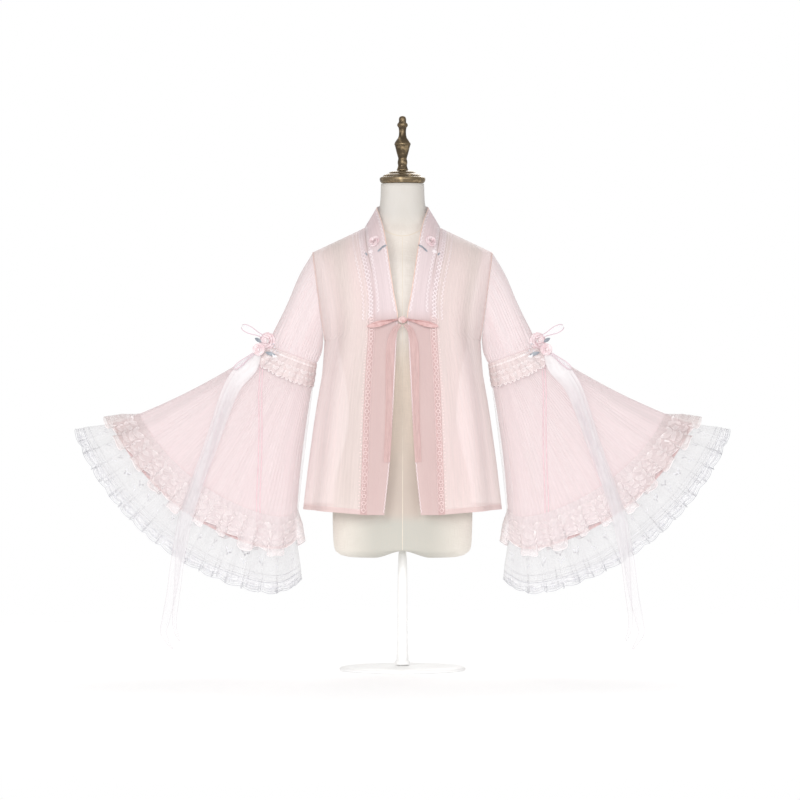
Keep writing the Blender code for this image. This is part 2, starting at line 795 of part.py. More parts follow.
def make_loft(name, rings, material, collection):
    """A closed solid through rings of points, with a flat face at each end."""
    mesh = bmesh.new()
    grid = [[mesh.verts.new(point) for point in ring] for ring in rings]
    steps = len(grid[0])
    for lower, upper in zip(grid, grid[1:]):
        for step in range(steps):
            beside = (step + 1) % steps
            mesh.faces.new((lower[step], lower[beside], upper[beside], upper[step]))
    mesh.faces.new(reversed(grid[0]))
    mesh.faces.new(grid[-1])
    bmesh.ops.recalc_face_normals(mesh, faces=mesh.faces)
    data = bpy.data.meshes.new(name)
    mesh.to_mesh(data)
    mesh.free()
    data.shade_smooth()
    return make_object(name, data, material, collection)


# Dress form and stand

def form_notch(x):
    """How much the form's underside rises in the middle."""
    return FORM_NOTCH_HEIGHT * ease(1 - abs(x) / FORM_NOTCH_HALF_WIDTH)


def form_ring(row, shrink=1.0, level_notch=False):
    """One section of the form: flatter at front and back than an ellipse."""
    height, half_width, front, back, roundness = row
    ring = []
    for step in range(FORM_SEGMENTS):
        angle = 2 * math.pi * step / FORM_SEGMENTS
        across = math.copysign(abs(math.cos(angle)) ** (2 / roundness), math.cos(angle))
        ahead = math.copysign(abs(math.sin(angle)) ** (2 / roundness), math.sin(angle))
        depth = back if ahead > 0 else front
        x = half_width * across * shrink
        rise = form_notch(x) if level_notch else 0.0
        ring.append((x, depth * ahead * shrink, height + rise))
    return ring


def socket_ring():
    """The flat round place under the form where its pole stands."""
    height = FORM_RINGS[0][0] + FORM_NOTCH_HEIGHT
    return [
        (
            FORM_SOCKET_RADIUS * math.cos(2 * math.pi * step / FORM_SEGMENTS),
            FORM_SOCKET_RADIUS * math.sin(2 * math.pi * step / FORM_SEGMENTS),
            height,
        )
        for step in range(FORM_SEGMENTS)
    ]


def make_form(material, collection):
    """The torso and neck in one closed loft."""
    lowest = FORM_RINGS[0]
    under = (lowest[0] - FORM_UNDER_DROP, *lowest[1:])
    rings = [socket_ring()]
    rings += [form_ring(under, shrink, level_notch=True) for shrink in FORM_UNDER_SHARES]
    rings += [form_ring(lowest, level_notch=True)]
    rings += [form_ring(row) for row in FORM_RINGS[1:]]
    return make_loft("dress_form", rings, material, collection)


def make_stand(white, bronze, collection):
    pole_top = FORM_RINGS[0][0] + FORM_NOTCH_HEIGHT - SEAM_GAP
    make_cylinder(
        "stand_base", BASE_RADIUS, 0.0, BASE_HEIGHT, BASE_SEGMENTS, white, collection
    )
    make_cylinder(
        "stand_pole", POLE_RADIUS, BASE_HEIGHT + SEAM_GAP, pole_top, POLE_SEGMENTS, white,
        collection,
    )
    make_turned("neck_cap", CAP_PROFILE, CAP_SEGMENTS, bronze, collection)
    make_turned("finial", FINIAL_PROFILE, FINIAL_SEGMENTS, bronze, collection)


# Jacket

def make_body(chiffon, lace, collection):
    front = front_sheet()
    band = band_sheet()
    braid = braid_sheet(front)
    make_wall("back", back_sheet(), CHIFFON, chiffon, collection)
    make_wall("neck_band", neck_band_sheet(), CHIFFON, chiffon, collection)
    for side, label in SIDES:
        make_wall(f"front_{label}", for_side(front, side), CHIFFON, chiffon, collection)
        make_wall(f"band_{label}", for_side(band, side), CHIFFON, chiffon, collection)
        make_wall(f"braid_{label}", for_side(braid, side), TULLE, lace, collection)


def make_sleeves(chiffon, lace, tulle, collection):
    upper = upper_sleeve_sheet()
    bell = bell_sheet()
    frill = ruffle_sheet(
        bell, FRILL_SPAN, FRILL_WAVES, FRILL_LIFT, FRILL_WAVE, calm_ends=FRILL_CALM
    )
    tier = ruffle_sheet(bell, TIER_SPAN, TIER_WAVES, TIER_LIFT, TIER_WAVE)
    flounce = ruffle_sheet(bell, FLOUNCE_SPAN, FLOUNCE_WAVES, FLOUNCE_LIFT, FLOUNCE_WAVE)
    border = ruffle_sheet(bell, BORDER_SPAN, FLOUNCE_WAVES, BORDER_LIFT, BORDER_WAVE)
    pieces = (
        ("upper_sleeve", upper, CHIFFON, chiffon),
        ("bell", bell[:CHIFFON_ROWS], CHIFFON, chiffon),
        ("elbow_frill", frill, TULLE, lace),
        ("lace_tier", tier, TULLE, lace),
        ("flounce", flounce, TULLE, tulle),
        ("lace_border", border, TULLE, lace),
    )
    for side, label in SIDES:
        for name, points, thickness, material in pieces:
            place = for_side(points, side)
            make_wall(f"{name}_{label}", place, thickness, material, collection, closed=True)


def rose_sheet(place, facing, radius):
    """A rolled ribbon rose on the left: a dome of petal rings, each turned against the last."""
    place = np.array(place) * MIRROR
    facing = np.array(facing) * MIRROR
    facing /= np.linalg.norm(facing)
    sideways = np.cross(facing, (0.0, 0.0, 1.0))
    sideways /= np.linalg.norm(sideways)
    upward = np.cross(sideways, facing)
    height = radius * ROSE_HEIGHT_SHARE
    rings = []
    for order, (reach, rise, petal) in enumerate(ROSE_RINGS):
        ring = []
        for step in range(ROSE_STEPS):
            angle = 2 * math.pi * step / ROSE_STEPS
            lobes = math.cos(ROSE_PETALS * angle + ROSE_RING_TURN * order)
            size = radius * reach * (1 + petal * lobes)
            around = sideways * math.cos(angle) + upward * math.sin(angle)
            ring.append(place + around * size + facing * height * rise)
        rings.append(ring)
    return np.array(rings)


def leaf_sheet(leaf, width):
    """A leaf on the left that bulges along its middle vein."""
    root = np.array(leaf[:3]) * MIRROR
    tip = np.array(leaf[3:]) * MIRROR
    reach = tip - root
    across = np.cross(np.array((0.0, 1.0, 0.0)), reach)
    across /= np.linalg.norm(across)
    rows = []
    for share in LEAF_SHARES:
        half = width / 2 * math.sin(math.pi * share) + LEAF_POINT_HALF
        middle = root + reach * share
        raised = middle - np.array((0, width * LEAF_BULGE, 0))
        rows.append((middle - across * half, raised, middle + across * half))
    return np.array(rows)


def collar_rose_sheet(band):
    """The small rose that lies on the left collar."""
    normals = sheet_normals(band, closed=False)
    row = COLLAR_ROSE_LEVEL * BAND_STEPS_PER_LEVEL
    column = COLLAR_ROSE_SHARE * BAND_CELLS
    point = read_sheet(band, column, row, closed=False)
    facing = read_sheet(normals, column, row, closed=False)
    facing = facing / np.linalg.norm(facing)
    place = point + facing * (CHIFFON + COLLAR_ROSE_LIFT)
    return rose_sheet(place * MIRROR, facing * MIRROR, COLLAR_ROSE_RADIUS)


def make_corsages(rose_ribbon, leaf_green, organza, collection):
    """Roses, leaves, loops and long tails at each elbow, and the collar's small roses."""
    roses = (
        ("rose", rose_sheet(ROSE_PLACE, ROSE_FACING, ROSE_RADIUS)),
        ("small_rose", rose_sheet(SMALL_ROSE_PLACE, SMALL_ROSE_FACING, SMALL_ROSE_RADIUS)),
        ("collar_rose", collar_rose_sheet(band_sheet())),
    )
    ribbons = (
        ("low_leaf", leaf_sheet(LOW_LEAF, LEAF_WIDTH), leaf_green),
        ("high_leaf", leaf_sheet(HIGH_LEAF, LEAF_WIDTH), leaf_green),
        ("upper_loop", loop_sheet(UPPER_LOOP, LOOP_LEVELS), organza),
        ("lower_loop", loop_sheet(LOWER_LOOP, LOOP_LEVELS), organza),
        ("outer_tail", ribbon_sheet(TAIL_OUTER, TAIL_LEVELS), organza),
        ("inner_tail", ribbon_sheet(TAIL_INNER, TAIL_LEVELS), organza),
    )
    for side, label in SIDES:
        for name, points in roses:
            make_loft(f"{name}_{label}", for_side(points, side), rose_ribbon, collection)
        for name, points, material in ribbons:
            place = for_side(points, side)
            make_wall(f"{name}_{label}", place, RIBBON, material, collection)


def make_bow(satin, collection):
    mesh = bmesh.new()
    bmesh.ops.create_uvsphere(
        mesh, u_segments=KNOT_SEGMENTS, v_segments=KNOT_RINGS, radius=1.0
    )
    bmesh.ops.scale(mesh, verts=mesh.verts, vec=KNOT_RADII)
    bmesh.ops.translate(mesh, verts=mesh.verts, vec=(0, BOW_Y, BOW_HEIGHT))
    data = bpy.data.meshes.new("bow_knot")
    mesh.to_mesh(data)
    mesh.free()
    data.shade_smooth()
    make_object("bow_knot", data, satin, collection)
    loop = loop_sheet(BOW_LOOP, BOW_LOOP_LEVELS)
    tail = ribbon_sheet(BOW_TAIL, BOW_TAIL_LEVELS)
    for side, label in SIDES:
        make_wall(f"bow_loop_{label}", for_side(loop, side), RIBBON, satin, collection)
        make_wall(f"bow_tail_{label}", for_side(tail, side), RIBBON, satin, collection)


def main():
    clear_scene()
    collection = bpy.data.collections.new("Jacket on a dress form")
    bpy.context.scene.collection.children.link(collection)
    linen = make_material("Form linen", (0.80, 0.77, 0.70), 0.85)
    bronze = make_material("Aged bronze", (0.16, 0.09, 0.05), 0.38, metallic=0.9)
    white = make_material("White paint", (0.86, 0.86, 0.86), 0.45)
    chiffon = make_material("Pink chiffon", (0.90, 0.68, 0.67), 0.75)
    lace = make_material("Ivory lace", (0.92, 0.84, 0.82), 0.80)
    tulle = make_material("White tulle", (0.93, 0.93, 0.94), 0.70)
    organza = make_material("White organza", (0.92, 0.91, 0.92), 0.45)
    satin = make_material("Salmon satin", (0.88, 0.48, 0.46), 0.35)
    rose_ribbon = make_material("Rose ribbon", (0.86, 0.55, 0.58), 0.45)
    leaf_green = make_material("Grey leaf", (0.50, 0.56, 0.62), 0.60)
    make_form(linen, collection)
    make_stand(white, bronze, collection)
    make_body(chiffon, lace, collection)
    make_sleeves(chiffon, lace, tulle, collection)
    make_corsages(rose_ribbon, leaf_green, organza, collection)
    make_bow(satin, collection)


main()
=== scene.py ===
"""Looks of a sheer open jacket with wide bell sleeves, worn by a dress form on a stand.

Metres, +Z up, the front faces -Y. Cloth is worked out for the viewer's left, where "out" is a
distance from the middle plane, and mirrored for the right. Sheets are arrays of points, rows by
columns, whose outside is columns crossed with rows.
"""

import math

import bpy
import mathutils
import numpy as np
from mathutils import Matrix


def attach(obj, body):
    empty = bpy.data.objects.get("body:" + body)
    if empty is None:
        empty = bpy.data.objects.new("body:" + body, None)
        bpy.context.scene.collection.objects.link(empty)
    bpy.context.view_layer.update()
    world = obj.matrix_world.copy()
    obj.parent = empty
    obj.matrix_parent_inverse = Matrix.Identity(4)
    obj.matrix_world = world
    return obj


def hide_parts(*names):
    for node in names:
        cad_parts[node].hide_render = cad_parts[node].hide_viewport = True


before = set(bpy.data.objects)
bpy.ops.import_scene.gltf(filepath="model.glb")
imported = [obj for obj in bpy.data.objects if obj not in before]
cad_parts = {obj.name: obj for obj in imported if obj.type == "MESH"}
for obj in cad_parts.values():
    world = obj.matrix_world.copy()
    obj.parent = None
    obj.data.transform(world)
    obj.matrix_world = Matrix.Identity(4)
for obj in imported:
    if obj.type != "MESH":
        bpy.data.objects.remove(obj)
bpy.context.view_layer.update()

# Camera: the photograph is 1.778 m wide where the dress form stands
CAMERA_PLACE = (-0.0056, -9.88, 0.60)
CAMERA_LENS = 200
CAMERA_SENSOR = 36

# Studio
FLOOR_RADIUS = 3.0
FLOOR_GAP = 0.0005
FLOOR_GLOW = 0.18
SKY_STRENGTH = 0.58
# Columns: name, place, what it points at, size, watts, colour
LAMPS = (
    ("Key", (-1.8, -4.6, 2.4), (0.0, 0.0, 0.70), 2.2, 75, (1.0, 0.99, 0.98)),
    ("Fill", (2.2, -4.8, 1.4), (0.0, 0.0, 0.65), 2.8, 40, (0.98, 0.99, 1.0)),
    ("Front", (0.0, -6.4, 1.5), (0.0, 0.0, 0.85), 1.6, 75, (1.0, 1.0, 1.0)),
    ("Back", (0.4, 3.2, 2.6), (0.0, 0.0, 0.70), 2.2, 45, (1.0, 1.0, 1.0)),
)

# Walls of the frame's solids
CHIFFON = 0.0012
RIBBON = 0.0010
MID_WALL = 0.0006

# Dress form, from the bottom up
# Columns: height, half width, reach to the front, reach to the back, roundness
FORM_RINGS = (
    (0.2560, 0.1370, 0.098, 0.104, 2.5),
    (0.2700, 0.1510, 0.112, 0.118, 2.4),
    (0.3100, 0.1545, 0.117, 0.122, 2.3),
    (0.3700, 0.1545, 0.114, 0.122, 2.3),
    (0.4400, 0.1450, 0.107, 0.110, 2.3),
    (0.5100, 0.1270, 0.098, 0.092, 2.3),
    (0.5700, 0.1190, 0.092, 0.084, 2.3),
    (0.6400, 0.1260, 0.100, 0.090, 2.3),
    (0.7100, 0.1400, 0.115, 0.100, 2.4),
    (0.7650, 0.1480, 0.121, 0.105, 2.4),
    (0.8200, 0.1530, 0.112, 0.107, 2.4),
    (0.8650, 0.1640, 0.095, 0.102, 2.3),
    (0.8980, 0.1720, 0.078, 0.093, 2.2),
    (0.9190, 0.1800, 0.060, 0.078, 2.0),
    (0.9380, 0.1690, 0.046, 0.062, 1.8),
    (0.9570, 0.1300, 0.040, 0.046, 1.8),
    (0.9740, 0.0850, 0.040, 0.040, 1.8),
    (0.9950, 0.0640, 0.046, 0.048, 2.0),
    (1.0300, 0.0510, 0.046, 0.046, 2.0),
    (1.0805, 0.0478, 0.045, 0.045, 2.0),
)
FORM_NOTCH_HEIGHT = 0.015
FORM_NOTCH_HALF_WIDTH = 0.062
FORM_SOCKET_RADIUS = 0.030
FORM_UNDER_DROP = 0.004
FORM_UNDER_SHARES = (0.55, 0.88)
FORM_SEGMENTS = 128
FORM_STEPS = 6
# Painted light and shade on the form's linen: heights and distances out between which one tone goes
# over into the next
FORM_HIP_TOP = (0.325, 0.355)
FORM_HIP_SHADE_TO_LIGHT = (0.05, 0.16)
FORM_OPENING = (0.03, 0.05)
FORM_OPENING_SHADE_HEIGHTS = (0.38, 0.60)
FORM_OPENING_TOP = (0.66, 0.76)
NECK_SEAM_HEIGHT = 0.9636
NECK_SEAM_RISE = 8.3
NECK_SEAM_TRIES = 30
# Rings of the form's sheet below its lowest section
FORM_UNDER_RINGS = 3
# Seams: lift, width, height
NECK_SEAM = (0.0002, 0.0022, 0.0004)
FORM_SIDE_SEAM = (0.0001, 0.0012, 0.0002)
FORM_SIDE_SEAM_GAP = 0.002

# Cap, finial and stand, top first
# Columns: radius, height
CAP_PROFILE = (
    (0.0000, 1.1095), (0.0170, 1.1095), (0.0290, 1.1070), (0.0310, 1.1030), (0.0420, 1.1000),
    (0.0440, 1.0965), (0.0500, 1.0945), (0.0512, 1.0900), (0.0495, 1.0850), (0.0460, 1.0810),
    (0.0000, 1.0810),
)
FINIAL_PROFILE = (
    (0.0000, 1.2320), (0.0060, 1.2305), (0.0084, 1.2245), (0.0078, 1.2175), (0.0119, 1.2140),
    (0.0119, 1.2085), (0.0079, 1.2050), (0.0079, 1.1850), (0.0150, 1.1760), (0.0188, 1.1690),
    (0.0167, 1.1650), (0.0125, 1.1470), (0.0089, 1.1365), (0.0109, 1.1310), (0.0109, 1.1250),
    (0.0095, 1.1220), (0.0120, 1.1130), (0.0143, 1.1098), (0.0000, 1.1098),
)
BASE_PROFILE = (
    (0.0000, 0.0100), (0.0160, 0.0100), (0.1180, 0.0092), (0.1340, 0.0080), (0.1400, 0.0045),
    (0.1400, 0.0008), (0.1390, 0.0000), (0.0000, 0.0000),
)
POLE_PROFILE = (
    (0.0000, 0.2707), (0.0110, 0.2707), (0.0110, 0.0240), (0.0170, 0.0200), (0.0170, 0.0103),
    (0.0000, 0.0103),
)
TURNED_SEGMENTS = 72
CORNER_CUTS = 2

# Jacket body: a row for each level from the hem (0) through the underarm to the shoulder seam
UNDERARM_LEVEL = 4
SHOULDER_LEVEL = 10
# Columns: distance out, height
SIDE_SEAM = ((0.2178, 0.359), (0.2060, 0.460), (0.1925, 0.560), (0.1790, 0.650), (0.1725, 0.733))
ARMHOLE_TOP = (0.1993, 0.9275)
ARMHOLE_HALF_DEPTH = 0.052
# Columns: out, y and height of the band's seam, then out, y and height of its free edge
FRONT_LEVELS = (
    (0.0789, -0.1460, 0.348, 0.0400, -0.1490, 0.348),
    (0.0750, -0.1450, 0.455, 0.0285, -0.1480, 0.455),
    (0.0715, -0.1420, 0.560, 0.0215, -0.1450, 0.560),
    (0.0670, -0.1380, 0.655, 0.0165, -0.1410, 0.655),
    (0.0615, -0.1340, 0.740, 0.0125, -0.1370, 0.740),
    (0.0600, -0.1310, 0.785, 0.0105, -0.1350, 0.785),
    (0.0600, -0.1240, 0.830, 0.0190, -0.1290, 0.835),
    (0.0670, -0.1110, 0.878, 0.0270, -0.1170, 0.888),
    (0.0760, -0.0880, 0.922, 0.0340, -0.0970, 0.937),
    (0.0815, -0.0520, 0.957, 0.0430, -0.0660, 0.985),
    (0.0833, 0.0000, 0.982, 0.0567, -0.0120, 1.027),
)
# Columns: y and height at the middle of the back
BACK_LEVELS = (
    (0.1500, 0.352), (0.1460, 0.457), (0.1410, 0.560), (0.1350, 0.652), (0.1290, 0.738),
    (0.1250, 0.785), (0.1200, 0.830), (0.1130, 0.875), (0.1020, 0.918), (0.0860, 0.957),
    (0.0700, 0.988),
)
NECK_SHARE = 0.70
BACK_BLEND_LEVELS = 1.6
COLLAR_RISE_LEVEL = 6
COLLAR_TOP_BACK_Y = 0.0540
COLLAR_TOP_BACK_HEIGHT = 1.036
BODY_ROUNDNESS = 2.4
ARMHOLE_TURN = math.radians(38)
ARMHOLE_TURN_START = UNDERARM_LEVEL - 1.6
ARMHOLE_TURN_LEVELS = 3.2
BODY_FOLDS = 2.5
FOLD_DEPTH_AT_HEM = 0.009
FOLD_DEPTH_AT_CHEST = 0.0032
FOLD_TOP_LEVEL = UNDERARM_LEVEL + 1.5
FOLD_FACING = 0.25
# Crinkles of the body's chiffon: waves of four pitches, that wander and come and go
CRINKLE_PITCH = 0.0085
CRINKLE_DEPTH = 0.00035
CRINKLE_CALM = 0.008
# Columns: how many times as fine as the pitch, weight
CRINKLE_WAVES = ((0.47, 0.5), (1.0, 0.5), (1.63, 0.3), (2.41, 0.2))
# Length along the cloth and depth, as a share of the pitch
CRINKLE_LONG_WANDER = (0.11, 0.35)
CRINKLE_SHORT_WANDER = (0.043, 0.20)
# Size of the patches across and along the cloth, and how far each row of them sways
CRINKLE_PATCH = (0.09, 0.13)
CRINKLE_PATCH_SWAY = (0.17, 2)
CRINKLE_CONTRAST = 0.35
FRONT_SEED = 1.0
BACK_SEED = 2.0
BODY_ROWS = 110
FRONT_COLUMNS = 150
BACK_HALF_COLUMNS = 170
BAND_COLUMNS = 12
HEM_DEPTH = 0.012
BELL_HEM_DEPTH = 0.006
HEM_PINK = (217, 193, 190)
BELL_HEM_PINK = (228, 184, 182)
COLLAR_PATCH = (0.950, 0.962)
SEAM_DEPTH = 0.005
BRAID_WIDTH = 0.015
BRAID_COLUMNS = 9
BRAID_LIFT = 0.0007
BRAID_PITCH = 0.0102
BRAID_RING = 0.0040
BRAID_RING_THREAD = 0.0013
BRAID_SEAM = 0.0006
# Share of the front's rows that is below the bow
BRAID_BOW_SHARE = 0.50
# Flower: radius, petals, lift, turn, height
BRAID_FLOWER = (0.0016, 4, 0.0003, 0.0, 0.0003)
# Distance of the edges' scallops from the braid's middle
BRAID_EDGE = 0.0058
# Scallops: pitch, depth, width of the thread
BRAID_SCALLOP = (0.0055, -0.0018, 0.0009)
# Dots: distance from the lace's middle, how far they sway, radius
BRAID_DOTS = (-0.0042, -0.0024, 0.0012)
DOT_ZIGZAG = (0.0, 0.7, 1.0, 0.3)
DOT_TURN = 0.5
DOT_LENGTH = 1.3
COLLAR_LACE_WIDTH = 0.030
COLLAR_LACE_LIFT = 0.0009
COLLAR_DOT_PITCH = 0.0034
# The same for each row of dots on the collar
COLLAR_DOTS = (
    (-0.0115, 0.0034, 0.0011), (-0.0045, 0.0, 0.0007), (0.0, -0.0030, 0.0012),
    (0.0085, 0.0034, 0.0012),
)
# Needlework on the band, whose places are shares of its width and height
# Dots: share of the width, how far they sway
BAND_DOTS = ((0.93, 0.0032), (0.10, -0.0032))
BAND_DOT_RADIUS = 0.0011
BAND_DOTS_START = 0.52
# Scallops: pitch, depth, width of the thread
BAND_SCALLOP = (0.0060, 0.0018, 0.0011)
BAND_SCALLOPS_END = 0.47
# Flowers: share of the width, turn
BAND_FLOWERS = ((0.08, 1.2), (0.16, 2.0))
BAND_FLOWER_LEVEL = 0.806
BAND_FLOWER_RADIUS = 0.0050
# Half length and half width of a leaf
COLLAR_LEAF = (0.0072, 0.0024)
COLLAR_LEAF_LIFT = 0.0012
COLLAR_LEAF_HEIGHT = 0.0010
# Pipings: lift, width, height
ARMHOLE_PIPING = (0.0005, 0.0013, 0.0004)
# Along the neck opening the peach strip is painted shade of the collar's inside.
OPENING_SHADE_STRIP = (0.0004, 0.0022, 0.0007)
OPENING_START = 0.49

# Upper sleeve: a row for each ring from the armhole to the elbow
# Columns: out and height of the ring's upper end, out and height of its lower end, half depth
UPPER_RINGS = (
    (0.1998, 0.9255, 0.1765, 0.7360, 0.0495),
    (0.2290, 0.8760, 0.1810, 0.7190, 0.0460),
    (0.2540, 0.8170, 0.1850, 0.7050, 0.0430),
    (0.2770, 0.7680, 0.1885, 0.6940, 0.0400),
    (0.2990, 0.7225, 0.1910, 0.6835, 0.0370),
)
UPPER_HALF_LENGTH = 0.080
UPPER_HALF_DEPTH = 0.043
UPPER_FOLDS = 5
UPPER_FOLD_DEPTH = 0.004
UPPER_ROWS = 56
UPPER_COLUMNS = 300
SLEEVE_TUCK = 0.03
UPPER_GATHERS = 34
UPPER_GATHER_DEPTH = 0.0011
UPPER_PLEATS = 46
UPPER_PLEAT_DEPTHS = (0.0002, 0.0007)
UPPER_SEED = 0.7
# How pleats wander round a sleeve: changes in a turn, then changes on the way down, depth
PLEAT_SWAY = (7, 1.1)
PLEAT_SPREAD = (12, 0.8)
PLEAT_TWIST = (3, 2.2, 0.5)
PLEAT_PATCHES = (9, 1.3, 0.38)

# Bell: straight from the elbow ring to a hem on a circle, seen from the front
ELBOW_TOP = (0.2994, 0.7214)
ELBOW_LOW = (0.1912, 0.6824)
ELBOW_HALF_DEPTH = 0.037
FAN_CENTRE = (0.179, 0.749)
HEM_RADIUS = 0.591
HEM_TOP_ANGLE = math.radians(23)
HEM_LOW_ANGLE = math.radians(84)
HEM_HALF_DEPTH = 0.050
HEM_CORNER = 0.070
HEM_CORNER_SHARPNESS = 12
TOP_EDGE_SAG = 0.020
LOW_EDGE_BOW = 0.013
BELL_HALF_LENGTH = 0.30
BELL_FOLDS = 6
BELL_FOLD_DEPTH = 0.010
BELL_LOOSE_FOLDS = 17
BELL_LOOSE_DEPTH = 0.0022
CHIFFON_END = 0.812
BELL_ROWS = 72
BELL_COLUMNS = 480
BELL_PLEATS = 96
BELL_PLEAT_DEPTHS = (0.0003, 0.00045)
BELL_SEED = 0.4
LINING_START = 0.004
LINING_DEPTH = -0.0012
LINING_ROWS = 40
LINING_SHOWS = 0.008
LINING_EDGE_SHARPNESS = 10
SEAM_PAIR = 0.0040
# The seams' piping: lift, width, height
SEAM_THREAD = (0.0010, 0.0020, 0.0006)
# Two seams down the left bell's front: out and height of points along each
BELL_SEAMS = (
    ((0.3122, 0.6889), (0.3150, 0.5600), (0.3170, 0.4300), (0.3178, 0.2956)),
    ((0.3744, 0.6333), (0.4010, 0.5600), (0.4233, 0.4778), (0.4500, 0.3956)),
)

# Strips gathered on the bell, each with a span from its seam to its end
# A span's columns: share of the way down the bell, distance out, depth of the waves
FRILL_SCALLOPS = 34
TIER_SCALLOPS = 58
BORDER_SCALLOPS = 64
RUFFLES = {
    "frill": {
        "span": ((0.004, 0.0006, 0.0), (0.050, 0.0050, 0.0030), (0.105, 0.0080, 0.0055)),
        "waves": 12, "columns": 384, "rows": 18, "seed": 0.5, "fullness": 0.3, "calm": 0.80,
        "scallops": FRILL_SCALLOPS, "scallop_depth": 0.006,
    },
    "tier": {
        "span": ((0.672, 0.0006, 0.0), (0.740, 0.0065, 0.0070), (0.818, 0.0095, 0.0125)),
        "waves": 18, "columns": 640, "rows": 24, "seed": 1.1, "fullness": 0.66,
        "scallops": TIER_SCALLOPS, "scallop_depth": 0.005, "sway_depth": 0.008,
    },
    "flounce": {
        "span": ((0.792, 0.0005, 0.0), (0.955, 0.0070, 0.0060)),
        "waves": 18, "columns": 640, "rows": 22, "seed": 2.3, "fullness": 0.68,
    },
    "border": {
        "span": ((0.9557, 0.0070, 0.0060), (1.0, 0.0080, 0.0070)),
        "waves": 18, "columns": 768, "rows": 9, "seed": 2.3, "fullness": 0.68,
        "scallops": BORDER_SCALLOPS, "scallop_depth": 0.005, "full_from_start": True,
    },
}
# Length of the bell along its middle
BELL_LENGTH = HEM_RADIUS * 0.87
# How the waves' height, drift and sway differ round the bell: changes in a turn, and how much
WAVE_HEIGHTS = ((5, 0.22), (11, 0.14))
WAVE_DRIFT = (4, 0.45)
WAVE_SWAY = (5, 0.8)
# Fine gathers at a strip's seam: to each wave, and their depth
WAVE_GATHERS = (3, 0.0005)

# Needlework of the laces
# Turn of a petal that points down the cloth
UPRIGHT = 1.57
# Petals: distance across and along, half length, half width, turn
EYELETS = ((0, -0.003, 0.0026, 0.0011, UPRIGHT), (0, 0.0032, 0.0026, 0.0011, UPRIGHT))
SPRIG = (
    (0, 0, 0.0034, 0.0013, UPRIGHT), (-0.004, -0.005, 0.0034, 0.0013, 0.9),
    (0.004, -0.005, 0.0034, 0.0013, 2.2),
)
# Columns: kind, how many to a scallop, place of the first between two, share of the way down,
# then the size of a spray or plume, the radii and width of a shell, the depth and width of a
# thread, the radius, petals, lift and height of a flower, or the petals of a group
LACES = {
    "frill": (
        ("flowers", 2, 0.0, 0.16, 0.0030, 5, 0.0002, 0.0003),
        ("plumes", 1, 0.0, 0.58, 0.013),
        ("plumes", 1, 0.5, 0.82, 0.013),
        ("shells", 1, 0.5, 0.92, (0.0026, 0.0044), 0.0007),
        ("thread", 1, 0.0, 0.99, 0.0, 0.0010),
    ),
    "tier": (
        ("sprays", 1, 0.5, 0.22, 0.0030),
        ("plumes", 1, 0.5, 0.40, 0.021),
        ("plumes", 1, 0.0, 0.58, 0.018),
        ("shells", 1, 0.0, 0.62, (0.0030, 0.0054, 0.0078), 0.0008),
        ("shells", 1, 0.5, 0.74, (0.0036, 0.0060, 0.0084), 0.0008),
        ("shells", 1, 0.0, 0.86, (0.0024, 0.0046, 0.0066), 0.0008),
        ("shells", 1, 0.5, 0.92, (0.0024, 0.0044), 0.0008),
        ("thread", 1, 0.0, 0.995, 0.0, 0.0012),
    ),
    "flounce": (
        ("thread", 1, 0.0, 0.86, 0.0, 0.0009),
        ("groups", 0.25, 0.25, 0.48, SPRIG),
        ("groups", 0.25, 0.75, 0.62, SPRIG),
    ),
    "border": (
        ("thread", 2, 0.0, 0.30, 0.0022, 0.0008),
        ("shells", 1, 0.5, 0.55, (0.0048, 0.0072), 0.0006),
        ("flowers", 1, 0.5, 0.56, 0.0034, 5, 0.0004, 0.0007),
        ("groups", 1, 0.0, 0.62, EYELETS),
    ),
    "border_cords": (
        ("thread", 1, 0.0, 0.05, 0.0, 0.0010),
        ("thread", 1, 0.0, 0.46, -0.0036, 0.0006),
        ("thread", 1, 0.0, 0.80, -0.0012, 0.0006),
        ("thread", 1, 0.0, 0.995, 0.0, 0.0010),
    ),
}
THREAD_LIFT = 0.0004
LOW_LIFT = 0.0003
THREAD_HEIGHT = 0.0005
PETAL_SIDES = 8
# A flat flower, as shares of its radius or its height
FLOWER_REACH = 0.58
FLOWER_PETAL = 0.42
FLOWER_NARROWING = 0.86
FLOWER_KNOT = 0.17
FLOWER_KNOT_HEIGHT = 1.3
FLOWER_HEIGHT = 0.0007
# Leaves beside a spray's flower, as shares of its size: distance along and up, slope
SPRAY_LEAVES = ((1.35, -0.1, -0.3), (1.9, 0.35, 0.1), (2.3, 0.95, 0.6))
SPRAY_LEAF = (0.42, 0.17)
SPRAY_TURN = 0.25
SCALLOPS_TO_A_SPRAY = 3
# A plume, as shares of its size: its place across and along, then its parallel threads, which
# have a number, the radius of the first and the step to the next
PLUME_PLACE = (0.5, 0.9)
PLUME_THREADS = (5, 0.45, 0.11)
PLUME_SWEEP = 1.25
PLUME_WIDTH = 0.0008
# How far each end of a shell's arc stops short of a half turn
SHELL_END = 0.12
BEAD_RINGS = 5
BEAD_SIDES = 8

# Corsage at the elbow and the collar's small rose
ROSE_FULLNESS = 1.15
# A rose petal: rows and columns, how wide it is at its root, and as shares of the rose's radius
# how far its rim curls, its sides cup and its tip rolls down
ROSE_PETAL_GRID = (7, 9)
ROSE_PETAL_ROOT = 0.55
ROSE_PETAL_CURL = 0.12
ROSE_PETAL_CUP = 0.05
ROSE_PETAL_ROLL = 0.10
ROSE_BUD = 0.24
ROSE_BUD_RISE = 0.45
ROSE_RADIUS = 0.0160
SMALL_ROSE_RADIUS = 0.0110
COLLAR_ROSE_RADIUS = 0.0112
ROSE_FACING = (0.45, -0.89, 0.10)
SMALL_ROSE_FACING = (0.20, -0.97, 0.0)
ROSE_PLACE = (0.3000, -0.0185, 0.7305)
SMALL_ROSE_PLACE = (0.3185, -0.0434, 0.7120)
COLLAR_ROSE_LEVEL = 8.5
COLLAR_ROSE_SHARE = 0.40
